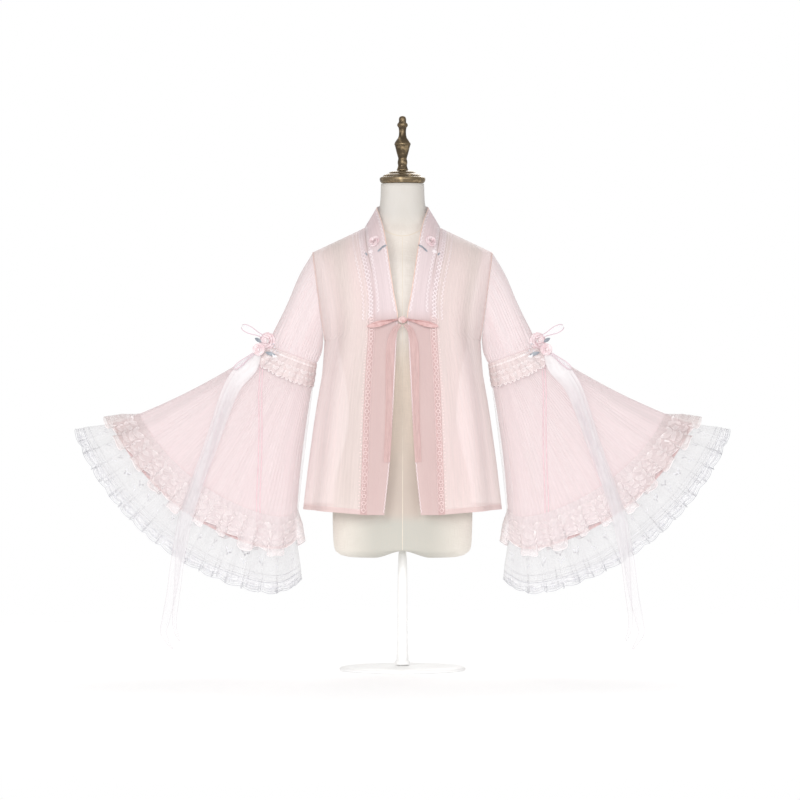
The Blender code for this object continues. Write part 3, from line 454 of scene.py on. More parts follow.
# Leaves under the collar's rose: share of the band's width, level, turn
COLLAR_LEAVES = ((0.62, 7.98, 0.5), (0.86, 8.06, 0.1), (-0.12, 8.02, 1.9))
# Columns: petals, then as shares of the rose's radius their distance from its middle, height
# above its base, length and half width, then how far they lean out, and the ring's turn
ROSE_LAYERS = (
    (5, 0.40, 0.02, 0.58, 0.80, 1.25, 0.0),
    (5, 0.32, 0.10, 0.56, 0.66, 0.90, 0.6),
    (4, 0.22, 0.18, 0.56, 0.44, 0.55, 0.3),
    (3, 0.12, 0.24, 0.52, 0.36, 0.25, 0.9),
    (2, 0.05, 0.30, 0.48, 0.24, 0.08, 0.2),
)
# A leaf's root and tip: out, y and height of each
LOW_LEAF = (0.3040, -0.0386, 0.7060, 0.2810, -0.0411, 0.6990)
HIGH_LEAF = (0.3130, -0.0260, 0.7285, 0.3275, -0.0210, 0.7375)
WHITE_FOLD = (0.2890, -0.0405, 0.7020, 0.2745, -0.0425, 0.6880)
LEAF_WIDTH = 0.0075
LEAF_GRID = (17, 9)
LEAF_BULGE = 0.14
LEAF_WAVE = (30, 0.0004)
# Beads about the left rose: out, y, height, radius
BEADS = (
    (0.2860, -0.0400, 0.7240, 0.0022),
    (0.2835, -0.0405, 0.7165, 0.0018),
    (0.2805, -0.0405, 0.7100, 0.0020),
    (0.2760, -0.0410, 0.7050, 0.0016),
    (0.2900, -0.0400, 0.7080, 0.0018),
)

# Beads below the collar's rose: how many, first angle, step, reach across and up, forward, radius
COLLAR_BEADS = (5, -0.5, -0.55, 0.0115, 0.0105, 0.0035, 0.0011)
COLLAR_ROSE_LIFT = 0.0012

# Long organza tails: a row for each bend of the ribbon's middle line
# Columns: out, y, height, width
TAIL_OUTER = (
    (0.3190, -0.0366, 0.7040, 0.010),
    (0.3400, -0.0440, 0.6780, 0.036),
    (0.3810, -0.0480, 0.6280, 0.031),
    (0.4230, -0.0545, 0.5110, 0.025),
    (0.4540, -0.0655, 0.4220, 0.025),
    (0.4790, -0.0755, 0.3470, 0.025),
    (0.4980, -0.0760, 0.2530, 0.024),
    (0.5090, -0.0750, 0.1780, 0.022),
    (0.5220, -0.0730, 0.1160, 0.018),
    (0.5270, -0.0720, 0.0850, 0.014),
    (0.5080, -0.0720, 0.0500, 0.004),
)
TAIL_INNER = (
    (0.3160, -0.0384, 0.7040, 0.010),
    (0.3370, -0.0462, 0.6740, 0.034),
    (0.3760, -0.0510, 0.6220, 0.030),
    (0.4180, -0.0575, 0.5080, 0.025),
    (0.4500, -0.0695, 0.4190, 0.025),
    (0.4740, -0.0790, 0.3440, 0.025),
    (0.4900, -0.0795, 0.2530, 0.020),
    (0.4970, -0.0785, 0.1780, 0.014),
    (0.5030, -0.0770, 0.1160, 0.010),
    (0.4990, -0.0760, 0.0850, 0.008),
    (0.4910, -0.0760, 0.0680, 0.004),
)
# Rows and columns, depth of the waves along a tail, and of its twist
TAIL_GRID = (220, 13)
TAIL_FLUTE = 0.0006
TAIL_TWIST = 0.0012

# Distances out over which the tier's net grows darker towards the sleeve's tip, as painted shade
SLEEVE_TIP_SHADE = (0.46, 0.66)

# Heights over which the tails' organza grows denser where it is gathered and whiter with painted
# light, and by how much cover
GATHERED_AND_LIT_SPAN = (0.560, 0.690)
GATHERED_COVER = 0.16

# Loops: out, y and height of the root, the same of the tip, ribbon width, half the opening
UPPER_LOOP = (0.3115, -0.0200, 0.7420, 0.3570, -0.0200, 0.7640, 0.018, 0.007)
LOWER_LOOP = (0.3300, -0.0469, 0.7030, 0.3730, -0.0560, 0.6690, 0.012, 0.004)
LOOP_GRID = (40, 9)
LOOP_FULLNESS = 0.85
LOOP_ROOT_GAP = 0.30
LOOP_ROOT_WIDTH = 0.45
LOOP_WIDENING = 1.6

# Bow that closes the front
BOW_HEIGHT = 0.776
BOW_Y = -0.1420
KNOT_RADII = (0.0102, 0.0072, 0.0080)
KNOT_GRID = (24, 48)
KNOT_END = 0.06
# Folds over the knot: how many, where they begin, depth
KNOT_FOLDS = (7, 0.8, 0.14)
BOW_LOOP = (0.0100, -0.1420, 0.7770, 0.0780, -0.1400, 0.7610, 0.0085, 0.005)
# Columns: out, y, height, width
BOW_TAIL = (
    (0.0050, -0.1430, 0.7660, 0.008),
    (0.0180, -0.1390, 0.7500, 0.013),
    (0.0260, -0.1398, 0.7160, 0.017),
    (0.0280, -0.1422, 0.6600, 0.016),
    (0.0290, -0.1450, 0.6000, 0.014),
    (0.0310, -0.1484, 0.5300, 0.014),
    (0.0340, -0.1506, 0.4640, 0.013),
)
# Loops: rows, columns, crease, drop, rounding; tails: rows, columns, flute, twist
BOW_LOOP_MAKE = (44, 9, 0.0020, 0.0045, 0.85)
BOW_TAIL_MAKE = (110, 11, 0.0003, 0.0006)

# Widths of a linen thread's wave and of a net's cells
LINEN_THREAD = 0.0011
NET_CELL = 0.0012
TULLE_CELL = 0.0014
# Textures: cells per metre, across and along the cloth or along x, y and z
LINEN_SLUBS = (900, 40)
LINEN_PATCHES = (9, 7)
CREASES = (300, 11)
STREAKS = (70, 3.5)
DRIFTS = (10, 1.2)
NET_WISPS = (60, 8)
ORGANZA_RIBS = (1800, 120)
ORGANZA_CLOUDS = (60, 18)
STITCH_STRANDS = (1500, 1500, 500)
STITCH_PATCHES = (60, 60, 60)
SATIN_RIBS = (900, 900, 120)
SATIN_PATCHES = (90, 90, 90)
BRONZE_CLOUDS = (70, 70, 90)
BRONZE_PITS = (900, 900, 900)
PAINT_PEEL = (500, 500, 500)
PAINT_MARKS = (20, 20, 20)
PAPER_FIBRES = (300, 300, 300)

# Looks of doubled cloth: softness of its edge, cover of a seam, and how much it adds to the cloth's
EDGE_SOFTNESS = 0.0008
SEAM_COVER = 0.55
DOUBLE_COVER = 0.30
# Half the height over which cloth changes its tone at the bow
BOW_BLEND = 0.03
# Distances from the collar's side edges over which its patch begins
COLLAR_PATCH_SIDE = (0.006, 0.011)

LEFT, RIGHT = -1, 1
MIRROR = np.array((-1.0, 1.0, 1.0))
SIDES = ((LEFT, "left"), (RIGHT, "right"))
ACROSS_FRONT = np.array((0.0, 1.0, 0.0))
TURN = 2 * math.pi


# Numbers along a table

def read_table(rows, place):
    """The table's columns at a place between its rows, on a smooth curve through them."""
    values = np.array(rows, dtype=float)
    last = len(values) - 1
    start = int(min(max(math.floor(place), 0), last - 1))
    share = place - start
    before = values[max(start - 1, 0)]
    here = values[start]
    there = values[start + 1]
    after = values[min(start + 2, last)]
    slope_here = (there - before) / (2 if start > 0 else 1)
    slope_there = (after - here) / (2 if start + 2 <= last else 1)
    square = share * share
    cube = square * share
    return (
        (2 * cube - 3 * square + 1) * here
        + (cube - 2 * square + share) * slope_here
        + (3 * square - 2 * cube) * there
        + (cube - square) * slope_there
    )


def ease(share):
    """0 to 1 with a soft start and end."""
    share = np.clip(share, 0.0, 1.0)
    return share * share * (3 - 2 * share)


def even_ring(count, long_half, short_half):
    """Angles round an ellipse, from its long end, that part it into arcs of even length."""
    fine = np.linspace(0, TURN, 721)
    steps = np.hypot(np.diff(long_half * np.cos(fine)), np.diff(short_half * np.sin(fine)))
    length = np.concatenate(([0], np.cumsum(steps)))
    wanted = np.arange(count) / count * length[-1]
    return np.interp(wanted, length, fine)


# Sheets: rows of points, and reading between them

def sheet_normals(points, closed):
    """Unit normals of a sheet's points, of columns crossed with rows."""
    if closed:
        across = np.roll(points, -1, axis=1) - np.roll(points, 1, axis=1)
    else:
        across = np.gradient(points, axis=1)
    along = np.gradient(points, axis=0)
    normals = np.cross(across, along)
    return normals / np.maximum(np.linalg.norm(normals, axis=2, keepdims=True), 1e-12)


def read_sheet(sheet, columns, rows, closed):
    """A sheet's values at arrays of places between its points."""
    row_count, column_count = sheet.shape[:2]
    columns = np.asarray(columns, dtype=float)
    rows = np.asarray(rows, dtype=float)
    low_row = np.clip(np.floor(rows).astype(int), 0, row_count - 2)
    row_share = (rows - low_row)[..., None]
    low_column = np.floor(columns).astype(int)
    if not closed:
        low_column = np.clip(low_column, 0, column_count - 2)
    column_share = (columns - low_column)[..., None]
    near = low_column % column_count
    far = (low_column + 1) % column_count
    lower = sheet[low_row, near] * (1 - column_share) + sheet[low_row, far] * column_share
    upper = sheet[low_row + 1, near] * (1 - column_share) + sheet[low_row + 1, far] * column_share
    return lower * (1 - row_share) + upper * row_share


def lengths(points, closed):
    """Distances across each row and along each column, with one more column when closed."""
    ring = np.concatenate((points, points[:, :1]), axis=1) if closed else points
    across = np.zeros(ring.shape[:2])
    across[:, 1:] = np.cumsum(np.linalg.norm(np.diff(ring, axis=1), axis=2), axis=1)
    along = np.zeros(ring.shape[:2])
    along[1:] = np.cumsum(np.linalg.norm(np.diff(ring, axis=0), axis=2), axis=0)
    return across, along


def mirrored(points):
    """The same sheet at the other side, with its outside still out."""
    return points[:, ::-1] * MIRROR


def for_side(points, side):
    """A sheet worked out for the left side, or its mirror."""
    return points if side == LEFT else mirrored(points)


def crinkle(across, along, seed):
    """Fine lengthwise creases that wander and come and go, as distances out of the cloth."""
    total = np.zeros_like(across)
    long_wave, long_depth = CRINKLE_LONG_WANDER
    short_wave, short_depth = CRINKLE_SHORT_WANDER
    for order, (finer, weight) in enumerate(CRINKLE_WAVES):
        start = seed * 1.7 + order * 2.1
        wander = long_depth * np.sin(along * TURN / long_wave * (1 + 0.3 * order) + start)
        wander += short_depth * np.sin(along * TURN / short_wave + 2 * start)
        total += weight * np.cos(TURN * (across * finer / CRINKLE_PITCH + wander) + start)
    sway_length, sway = CRINKLE_PATCH_SWAY
    swing = sway * np.sin(along * TURN / sway_length + seed)
    wide, tall = CRINKLE_PATCH
    spread = np.sin(across * TURN / wide + swing) * np.cos(along * TURN / tall + seed)
    return CRINKLE_DEPTH * total * (1 - CRINKLE_CONTRAST + CRINKLE_CONTRAST * spread)


def creased(points, seed):
    """An open sheet with crinkles that fade at its side edges."""
    across, along = lengths(points, False)
    out = crinkle(across, along, seed)
    out *= ease(np.minimum(across, across[:, -1:] - across) / CRINKLE_CALM)
    return points + sheet_normals(points, False) * out[..., None]


# Jacket body

def side_point(level):
    """Side seam, then the armhole's front half: distance out, distance forward, height."""
    if level <= UNDERARM_LEVEL:
        out, height = read_table(SIDE_SEAM, level)
        return out, 0.0, height
    share = (level - UNDERARM_LEVEL) / (SHOULDER_LEVEL - UNDERARM_LEVEL)
    turn = math.pi * (1 - share)
    low_out, low_height = SIDE_SEAM[-1]
    top_out, top_height = ARMHOLE_TOP
    out = (top_out + low_out) / 2 + (top_out - low_out) / 2 * math.cos(turn)
    height = (top_height + low_height) / 2 + (top_height - low_height) / 2 * math.cos(turn)
    return out, ARMHOLE_HALF_DEPTH * math.sin(turn), height


def bend(shares, level):
    """How far the body's curve has gone across and towards front or back, each 0 to 1."""
    first = ARMHOLE_TURN * float(ease((level - ARMHOLE_TURN_START) / ARMHOLE_TURN_LEVELS))
    angles = first + (math.pi / 2 - first) * shares
    power = 2 / BODY_ROUNDNESS
    across = 1 - np.maximum(np.cos(angles), 0.0) ** power / math.cos(first) ** power
    start = math.sin(first) ** power if first > 0 else 0.0
    forward = (np.sin(angles) ** power - start) / (1 - start)
    return across, forward


def body_fold(shares, level):
    """Depth of the soft folds that open towards the hem and end flat at both seams."""
    fade = float(ease(1 - level / FOLD_TOP_LEVEL))
    chest = math.sin(math.pi * level / SHOULDER_LEVEL) ** 2
    wave = (1 - np.cos(TURN * BODY_FOLDS * shares)) / 2
    wave = wave * np.sqrt(np.clip(np.sin(math.pi * shares), 0, 1))
    return (FOLD_DEPTH_AT_HEM * fade + FOLD_DEPTH_AT_CHEST * chest) * wave


def fold_facing(shares, way):
    """Unit directions in which the body's folds stand out, towards front (-1) or back (1)."""
    facing = np.stack((shares - 1, way * (shares + FOLD_FACING), np.zeros_like(shares)), axis=1)
    return facing / np.linalg.norm(facing, axis=1, keepdims=True)


def body_row(shares, level, middle, way):
    """A row of the body's left half, from the side (share 0) to a place near the middle (1).

    way is -1 for the front and 1 for the back.
    """
    out, forward, height = side_point(level)
    middle_out, middle_y, middle_height = middle
    across, ahead = bend(shares, level)
    points = np.stack((
        -(out + (middle_out - out) * across),
        way * forward + (middle_y - way * forward) * ahead,
        height + (middle_height - height) * across,
    ), axis=1)
    return points + fold_facing(shares, way) * body_fold(shares, level)[:, None]


def back_row(shares, level):
    """A row of the back's left half, whose uppermost ones go over into its upper edge."""
    points = body_row(shares, level, (0.0, *read_table(BACK_LEVELS, level)), 1)
    top = float(ease((level - SHOULDER_LEVEL) / BACK_BLEND_LEVELS + 1))
    return points * (1 - top) + back_top_row(shares) * top


def back_top_row(shares):
    """The back's upper edge: the shoulder seam to the neck point, then half the neck."""
    tip = np.array((-ARMHOLE_TOP[0], 0.0, ARMHOLE_TOP[1]))
    seam_out, seam_y, seam_height = FRONT_LEVELS[-1][:3]
    neck = np.array((-seam_out, seam_y, seam_height))
    shoulder = tip + (neck - tip) * np.minimum(shares / NECK_SHARE, 1)[:, None]
    behind = neck_row(np.maximum((shares - NECK_SHARE) / (1 - NECK_SHARE), 0))
    return np.where((shares <= NECK_SHARE)[:, None], shoulder, behind)


def quarter_row(shares, corner, back_y, back_height):
    """A quarter turn behind the left shoulder: a corner (share 0) to the middle of the back."""
    out, y, height = corner
    turns = shares * math.pi / 2
    return np.stack((
        -out * np.cos(turns),
        y + (back_y - y) * np.sin(turns),
        height + (back_height - height) * np.sin(turns),
    ), axis=1)


def neck_row(shares):
    """The neck seam behind the left shoulder."""
    return quarter_row(shares, FRONT_LEVELS[-1][:3], *BACK_LEVELS[-1])


def collar_top_row(shares):
    """The collar's free edge above the neck seam."""
    return quarter_row(shares, FRONT_LEVELS[-1][3:], COLLAR_TOP_BACK_Y, COLLAR_TOP_BACK_HEIGHT)


def front_sheet():
    """The left front, from the side to the band's seam."""
    shares = np.linspace(0, 1, FRONT_COLUMNS)
    return np.array([
        body_row(shares, level, read_table(FRONT_LEVELS, level)[:3], -1)
        for level in np.linspace(0, SHOULDER_LEVEL, BODY_ROWS)
    ])


def back_sheet():
    """The whole back, from the right side round to the left, so that its outside faces +Y."""
    levels = np.linspace(0, SHOULDER_LEVEL, BODY_ROWS)
    shares = np.linspace(0, 1, BACK_HALF_COLUMNS)
    left = np.array([back_row(shares, level) for level in levels])
    right = mirrored(left)
    return np.concatenate((right[:, ::-1][:, :-1], left[:, ::-1]), axis=1)


def band_sheet():
    """The left band beside the front edge, from the hem to the shoulder seam."""
    shares = np.linspace(0, 1, BAND_COLUMNS)[:, None]
    rows = []
    for level in np.linspace(0, SHOULDER_LEVEL, BODY_ROWS * 2):
        values = read_table(FRONT_LEVELS, level)
        seam = values[:3] * MIRROR
        edge = values[3:] * MIRROR
        stand_off = CHIFFON * float(ease((level - COLLAR_RISE_LEVEL) / 2))
        seam = seam + (edge - seam) / np.linalg.norm(edge - seam) * stand_off
        rows.append(seam * (1 - shares) + edge * shares)
    return np.array(rows)


def neck_band_sheet():
    """The collar round the back of the neck, from its seam up to its free edge."""
    turns = np.linspace(-1, 1, 121)
    shares = np.linspace(0, 1, BAND_COLUMNS)[:, None, None]
    low = neck_row(1 - np.abs(turns))
    high = collar_top_row(1 - np.abs(turns))
    low[:, 0] *= np.where(turns < 0, -1, 1)
    high[:, 0] *= np.where(turns < 0, -1, 1)
    low[:, 2] += CHIFFON
    return low * (1 - shares) + high * shares


# Sleeves

def oval_ring(top, low, half_depth, angles):
    """A ring from its upper end over the back, the lower end and the front."""
    middle = (np.array(top) + np.array(low)) / 2
    reach = (np.array(top) - np.array(low)) / 2
    return np.stack((
        -(middle[0] + reach[0] * np.cos(angles)),
        half_depth * np.sin(angles),
        middle[1] + reach[1] * np.cos(angles),
    ), axis=1)


def upper_sleeve_sheet():
    """The left upper sleeve's rings, with soft folds and the gathers of its elbow seam."""
    angles = even_ring(UPPER_COLUMNS, UPPER_HALF_LENGTH, UPPER_HALF_DEPTH)
    rings = []
    for place in np.linspace(0, len(UPPER_RINGS) - 1, UPPER_ROWS):
        top_out, top_height, low_out, low_height, half_depth = read_table(UPPER_RINGS, place)
        rings.append(oval_ring((top_out, top_height), (low_out, low_height), half_depth, angles))
    points = np.array(rings)
    down = np.linspace(0, 1, UPPER_ROWS)[:, None]
    around = np.arange(UPPER_COLUMNS)[None, :] / UPPER_COLUMNS
    folds = (1 - np.cos(TURN * UPPER_FOLDS * around)) / 2 * np.sin(math.pi * down)
    gathers = np.cos(TURN * UPPER_GATHERS * around + 2 * np.sin(TURN * UPPER_FOLDS * around))
    gathers = gathers * ease(down * 2.6 - 1.6) * (1 - ease(down * 12 - 11))
    out = UPPER_FOLD_DEPTH * folds + UPPER_GATHER_DEPTH * gathers
    points = points + sheet_normals(points, True) * (MID_WALL + out)[..., None]
    middles = points.mean(axis=1, keepdims=True)
    under_body = points[:1] * 2 - points[1:2] + (middles[:1] - points[:1]) * SLEEVE_TUCK
    under_bell = points[-1:] * 2 - points[-2:-1] + (middles[-1:] - points[-1:]) * SLEEVE_TUCK
    return np.concatenate((under_body, points, under_bell))


def bell_form(angles, share):
    """A ring of the bell's smooth form at a share of the way to the hem."""
    elbow = oval_ring(ELBOW_TOP, ELBOW_LOW, ELBOW_HALF_DEPTH, angles)
    middle_angle = (HEM_LOW_ANGLE + HEM_TOP_ANGLE) / 2
    half_angle = (HEM_LOW_ANGLE - HEM_TOP_ANGLE) / 2
    fan_angles = middle_angle - half_angle * np.cos(angles)
    corner = np.maximum(0.0, -np.cos(angles)) ** HEM_CORNER_SHARPNESS
    radius = HEM_RADIUS * (1 - HEM_CORNER * corner)
    hem = np.stack((
        -(FAN_CENTRE[0] + radius * np.cos(fan_angles)),
        HEM_HALF_DEPTH * np.sin(angles),
        FAN_CENTRE[1] - radius * np.sin(fan_angles),
    ), axis=1)
    upper = (1 + np.cos(angles)) / 2
    middle = 4 * share * (1 - share)
    pull = np.zeros_like(hem)
    pull[:, 0] = LOW_EDGE_BOW * middle * (1 - upper) ** 2
    pull[:, 2] = TOP_EDGE_SAG * middle * upper ** 2
    return elbow * (1 - share) + hem * share - pull


def bell_sheet():
    """The left bell's form from the elbow to the end of the sleeve, with radial folds."""
    angles = even_ring(BELL_COLUMNS, BELL_HALF_LENGTH, HEM_HALF_DEPTH)
    shares = np.linspace(0, 1, BELL_ROWS)
    points = np.array([bell_form(angles, share) for share in shares])
    around = np.arange(BELL_COLUMNS)[None, :] / BELL_COLUMNS
    down = shares[:, None]
    folds = BELL_FOLD_DEPTH * down * (1 - np.cos(TURN * BELL_FOLDS * around)) / 2
    wander = 1.5 * np.sin(TURN * 3 * around)
    loose = BELL_LOOSE_DEPTH * down * np.cos(TURN * BELL_LOOSE_FOLDS * around + wander)
    return points + sheet_normals(points, True) * (folds + loose)[..., None]


def bell_rows(first, last, rows, bell, lift):
    """A part of the bell's form, moved out by a distance."""
    places = np.linspace(first, last, rows) * (BELL_ROWS - 1)
    columns = np.arange(BELL_COLUMNS)
    grid_columns, grid_rows = np.meshgrid(columns, places)
    points = read_sheet(bell, grid_columns, grid_rows, True)
    normals = read_sheet(sheet_normals(bell, True), grid_columns, grid_rows, True)
    return points + normals * lift


def ruffle_sheet(
    bell, span, waves, columns, rows, seed, fullness, calm=0.0, scallops=0, scallop_depth=0.0,
    full_from_start=False, sway_depth=0.0,
):
    """A gathered strip round the bell, with full waves and a scalloped end where asked."""
    first, last = span[0][0], span[-1][0]
    cells = np.arange(columns) * BELL_COLUMNS / columns
    around = np.arange(columns) / columns
    uneven = np.ones(columns)
    for way, (changes, depth) in zip((1, -1), WAVE_HEIGHTS):
        uneven += depth * np.sin(TURN * changes * around + way * seed)
    changes, drift = WAVE_DRIFT
    phase = TURN * waves * around + drift * np.sin(TURN * changes * around + seed)
    calmness = 1 - calm * np.cos(even_ring(columns, BELL_HALF_LENGTH, HEM_HALF_DEPTH)) ** 4
    scallop = scallop_depth / BELL_LENGTH * (np.abs(np.sin(math.pi * scallops * around)) - 0.5)
    changes, swing = WAVE_SWAY
    sway = np.cos(phase) + swing * np.sin(TURN * changes * around + 2 * seed)
    sway *= sway_depth / BELL_LENGTH
    gathers, gather_depth = WAVE_GATHERS
    spans, lifts, depths = np.array(span).T
    grid_rows = np.zeros((rows, columns))
    grid_columns = np.zeros((rows, columns))
    swell = np.zeros((rows, columns))
    for row, share in enumerate(np.linspace(0, 1, rows)):
        reach = first + (last - first) * share
        lift = np.interp(reach, spans, lifts)
        depth = np.interp(reach, spans, depths)
        edge = scallop * ease(share * 2 - 1) + sway * share
        grid_rows[row] = (reach + edge) * (BELL_ROWS - 1)
        opened = 1.0 if full_from_start else share
        fuller = BELL_COLUMNS / (TURN * waves) * fullness * opened * np.sin(2 * phase)
        grid_columns[row] = cells + fuller
        wave = (np.cos(phase) + 1) / 2 * uneven
        fine = gather_depth * (1 - share) * np.cos(gathers * phase + seed)
        swell[row] = np.maximum((lift + depth * wave) * calmness + fine, span[0][1] + 0.0001)
    points = read_sheet(bell, grid_columns, grid_rows, True)
    normals = read_sheet(sheet_normals(bell, True), grid_columns, grid_rows, True)
    return points + normals * (CHIFFON + swell)[..., None]


# Blender objects

def ride(item, slot, *nodes):
    """The piece moves with the part and stands for its nodes, which are hidden; slot is not used.
    """
    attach(item, "root")
    if nodes:
        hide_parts(*nodes)
    return item


def new_object(name, mesh, material):
    item = bpy.data.objects.new(name, mesh)
    mesh.materials.append(material)
    bpy.context.scene.collection.objects.link(item)
    return item


def sheet_object(name, points, material, closed=False, caps=None):
    """A sheet's mesh, with places on its cloth and distances to its edges as UVs.

    caps closes the "last" ring of a closed sheet, or "both" ends, with a flat face.
    """
    rows, columns = points.shape[:2]
    last = columns if closed else columns - 1
    row, column = np.mgrid[0:rows - 1, 0:last]
    beside = (column + 1) % columns
    faces = np.stack((
        row * columns + column,
        row * columns + beside,
        (row + 1) * columns + beside,
        (row + 1) * columns + column,
    ), axis=2).reshape(-1, 4)
    faces = faces.tolist()
    ends = []
    if caps:
        ends.append([(rows - 1) * columns + place for place in range(columns)])
    if caps == "both":
        ends.append(list(range(columns))[::-1])
    mesh = bpy.data.meshes.new(name)
    mesh.from_pydata(points.reshape(-1, 3).tolist(), [], faces + ends)
    across, along = lengths(points, closed)
    to_side = np.minimum(across, across[:, -1:] - across)
    grain = np.broadcast_to(np.linspace(0, across[:, -1].mean(), across.shape[1]), across.shape)
    to_end = along[-1:] - along
    corners = ((row, column), (row, column + 1), (row + 1, column + 1), (row + 1, column))
    for label, first, second in (("Cloth", grain, along), ("Edges", to_side, to_end)):
        values = [np.stack((first[place], second[place]), axis=2) for place in corners]
        places = np.stack(values, axis=2).ravel()
        rest = np.zeros(2 * columns * len(ends))
        layer = mesh.uv_layers.new(name=label)
        layer.data.foreach_set("uv", np.concatenate((places, rest)))
    mesh.shade_smooth()
    return new_object(name, mesh, material)


# Threads, petals and beads that lie on a sheet

class Surface:
    """A sheet to lay things on, at places given by column and row."""

    def __init__(self, points, closed):
        self.points = points
        self.closed = closed
        self.normals = sheet_normals(points, closed)
        across, along = lengths(points, closed)
        self.column_width = across[:, -1] / (points.shape[1] if closed else points.shape[1] - 1)
        self.row_height = along[-1].mean() / (len(points) - 1)
        self.row_heights = np.gradient(along.mean(axis=1))

    def shifted(self, columns, rows, across, along):
        """Places moved by distances across and along the cloth."""
        every_row = range(len(self.points))
        rows = rows + along / np.interp(rows, every_row, self.row_heights)
        return columns + across / np.interp(rows, every_row, self.column_width), rows

    def at(self, columns, rows, lift):
        """Points over places on the sheet, and the normals there."""
        points = read_sheet(self.points, columns, rows, self.closed)
        normals = read_sheet(self.normals, columns, rows, self.closed)
        normals /= np.maximum(np.linalg.norm(normals, axis=-1, keepdims=True), 1e-12)
        return points + normals * lift, normals


class Stitches:
    """A mesh of raised threads, petals and beads, gathered piece by piece."""

    def __init__(self):
        self.points = []
        self.faces = []
        self.count = 0

    def add(self, points, faces):
        points = np.reshape(points, (-1, 3))
        self.points.append(points)
        self.faces.extend([place + self.count for place in face] for face in faces)
        self.count += len(points)

    def thread(self, points, normals, width, height, ring=False):
        """A low ridge along a path."""
        if ring:
            along = np.roll(points, -1, axis=0) - np.roll(points, 1, axis=0)
        else:
            along = np.gradient(points, axis=0)
        aside = np.cross(normals, along)
        aside *= width / 2 / np.maximum(np.linalg.norm(aside, axis=1, keepdims=True), 1e-12)
        grid = np.stack((points - aside, points + normals * height, points + aside), axis=1)
        count = len(points)
        faces = []
        for step in range(count if ring else count - 1):
            here, there = 3 * step, 3 * ((step + 1) % count)
            for lane in (0, 1):
                faces.append((here + lane, here + lane + 1, there + lane + 1, there + lane))
        self.add(grid, faces)

    def petals(self, surface, column, row, ovals, lift, height=THREAD_HEIGHT):
        """Filled ovals with a raised middle, beside a place.

        Each is given by distances across and along the cloth, half length, half width and turn.
        """
        angles = np.arange(PETAL_SIDES) / PETAL_SIDES * TURN
        fan = [(side, (side + 1) % PETAL_SIDES, PETAL_SIDES) for side in range(PETAL_SIDES)]
        for x, y, long, short, turn in ovals:
            a, b = long * np.cos(angles), short * np.sin(angles)
            dx = np.append(x + a * math.cos(turn) - b * math.sin(turn), x)
            dy = np.append(y + a * math.sin(turn) + b * math.cos(turn), y)
            points, normals = surface.at(*surface.shifted(column, row, dx, dy), lift)
            points[-1] += normals[-1] * height
            self.add(points, fan)

    def flower(self, surface, column, row, radius, petals, lift, turn=0.0, height=FLOWER_HEIGHT):
        """A flat embroidered flower with a knot in its middle."""
        reach, long, knot = radius * FLOWER_REACH, radius * FLOWER_PETAL, radius * FLOWER_KNOT
        short = reach * math.sin(math.pi / petals) * FLOWER_NARROWING
        ovals = [
            (reach * math.cos(angle), reach * math.sin(angle), long, short, angle)
            for angle in turn + np.arange(petals) / petals * TURN
        ]
        self.petals(surface, column, row, ovals, lift, height)
        middle = [(0, 0, knot, knot, 0)]
        self.petals(surface, column, row, middle, lift, height * FLOWER_KNOT_HEIGHT)

    def line(self, surface, columns, rows, lift, width, height=THREAD_HEIGHT, ring=False):
        """A thread along places on a sheet."""
        points, normals = surface.at(np.asarray(columns), np.asarray(rows), lift)
        self.thread(points, normals, width, height, ring)

    def bead(self, centre, radius):
        """A small round bead."""
        turns = np.arange(1, BEAD_RINGS) / BEAD_RINGS * math.pi
        angles = np.arange(BEAD_SIDES) / BEAD_SIDES * TURN
        points = [
            (math.sin(turn) * math.cos(angle), math.sin(turn) * math.sin(angle), math.cos(turn))
            for turn in turns for angle in angles
        ]
        top, bottom = len(points), len(points) + 1
        last = top - BEAD_SIDES
        faces = []
        for side in range(BEAD_SIDES):
            beside = (side + 1) % BEAD_SIDES
            faces.append((top, side, beside))
            for low in range(0, last, BEAD_SIDES):
                high = low + BEAD_SIDES
                faces.append((low + side, high + side, high + beside, low + beside))
            faces.append((last + side, bottom, last + beside))
        points += [(0, 0, 1), (0, 0, -1)]
        self.add(np.array(centre) + np.array(points) * radius, faces)

    def make(self, name, side, material, slot, *nodes):
        """The needlework as a piece, as it is at the left or mirrored."""
        points, faces = np.concatenate(self.points), self.faces
        if side == RIGHT:
            points, faces = points * MIRROR, [face[::-1] for face in faces]
        mesh = bpy.data.meshes.new(name)
        mesh.from_pydata(points.tolist(), [], faces)
        mesh.shade_smooth()
        return ride(new_object(name, mesh, material), slot, *nodes)


# Materials

def srgb(red, green, blue):
    """A screen colour, 0 to 255, in linear light."""
    values = np.array((red, green, blue)) / 255
    linear = np.where(values <= 0.04045, values / 12.92, ((values + 0.055) / 1.055) ** 2.4)
    return (*linear.tolist(), 1.0)


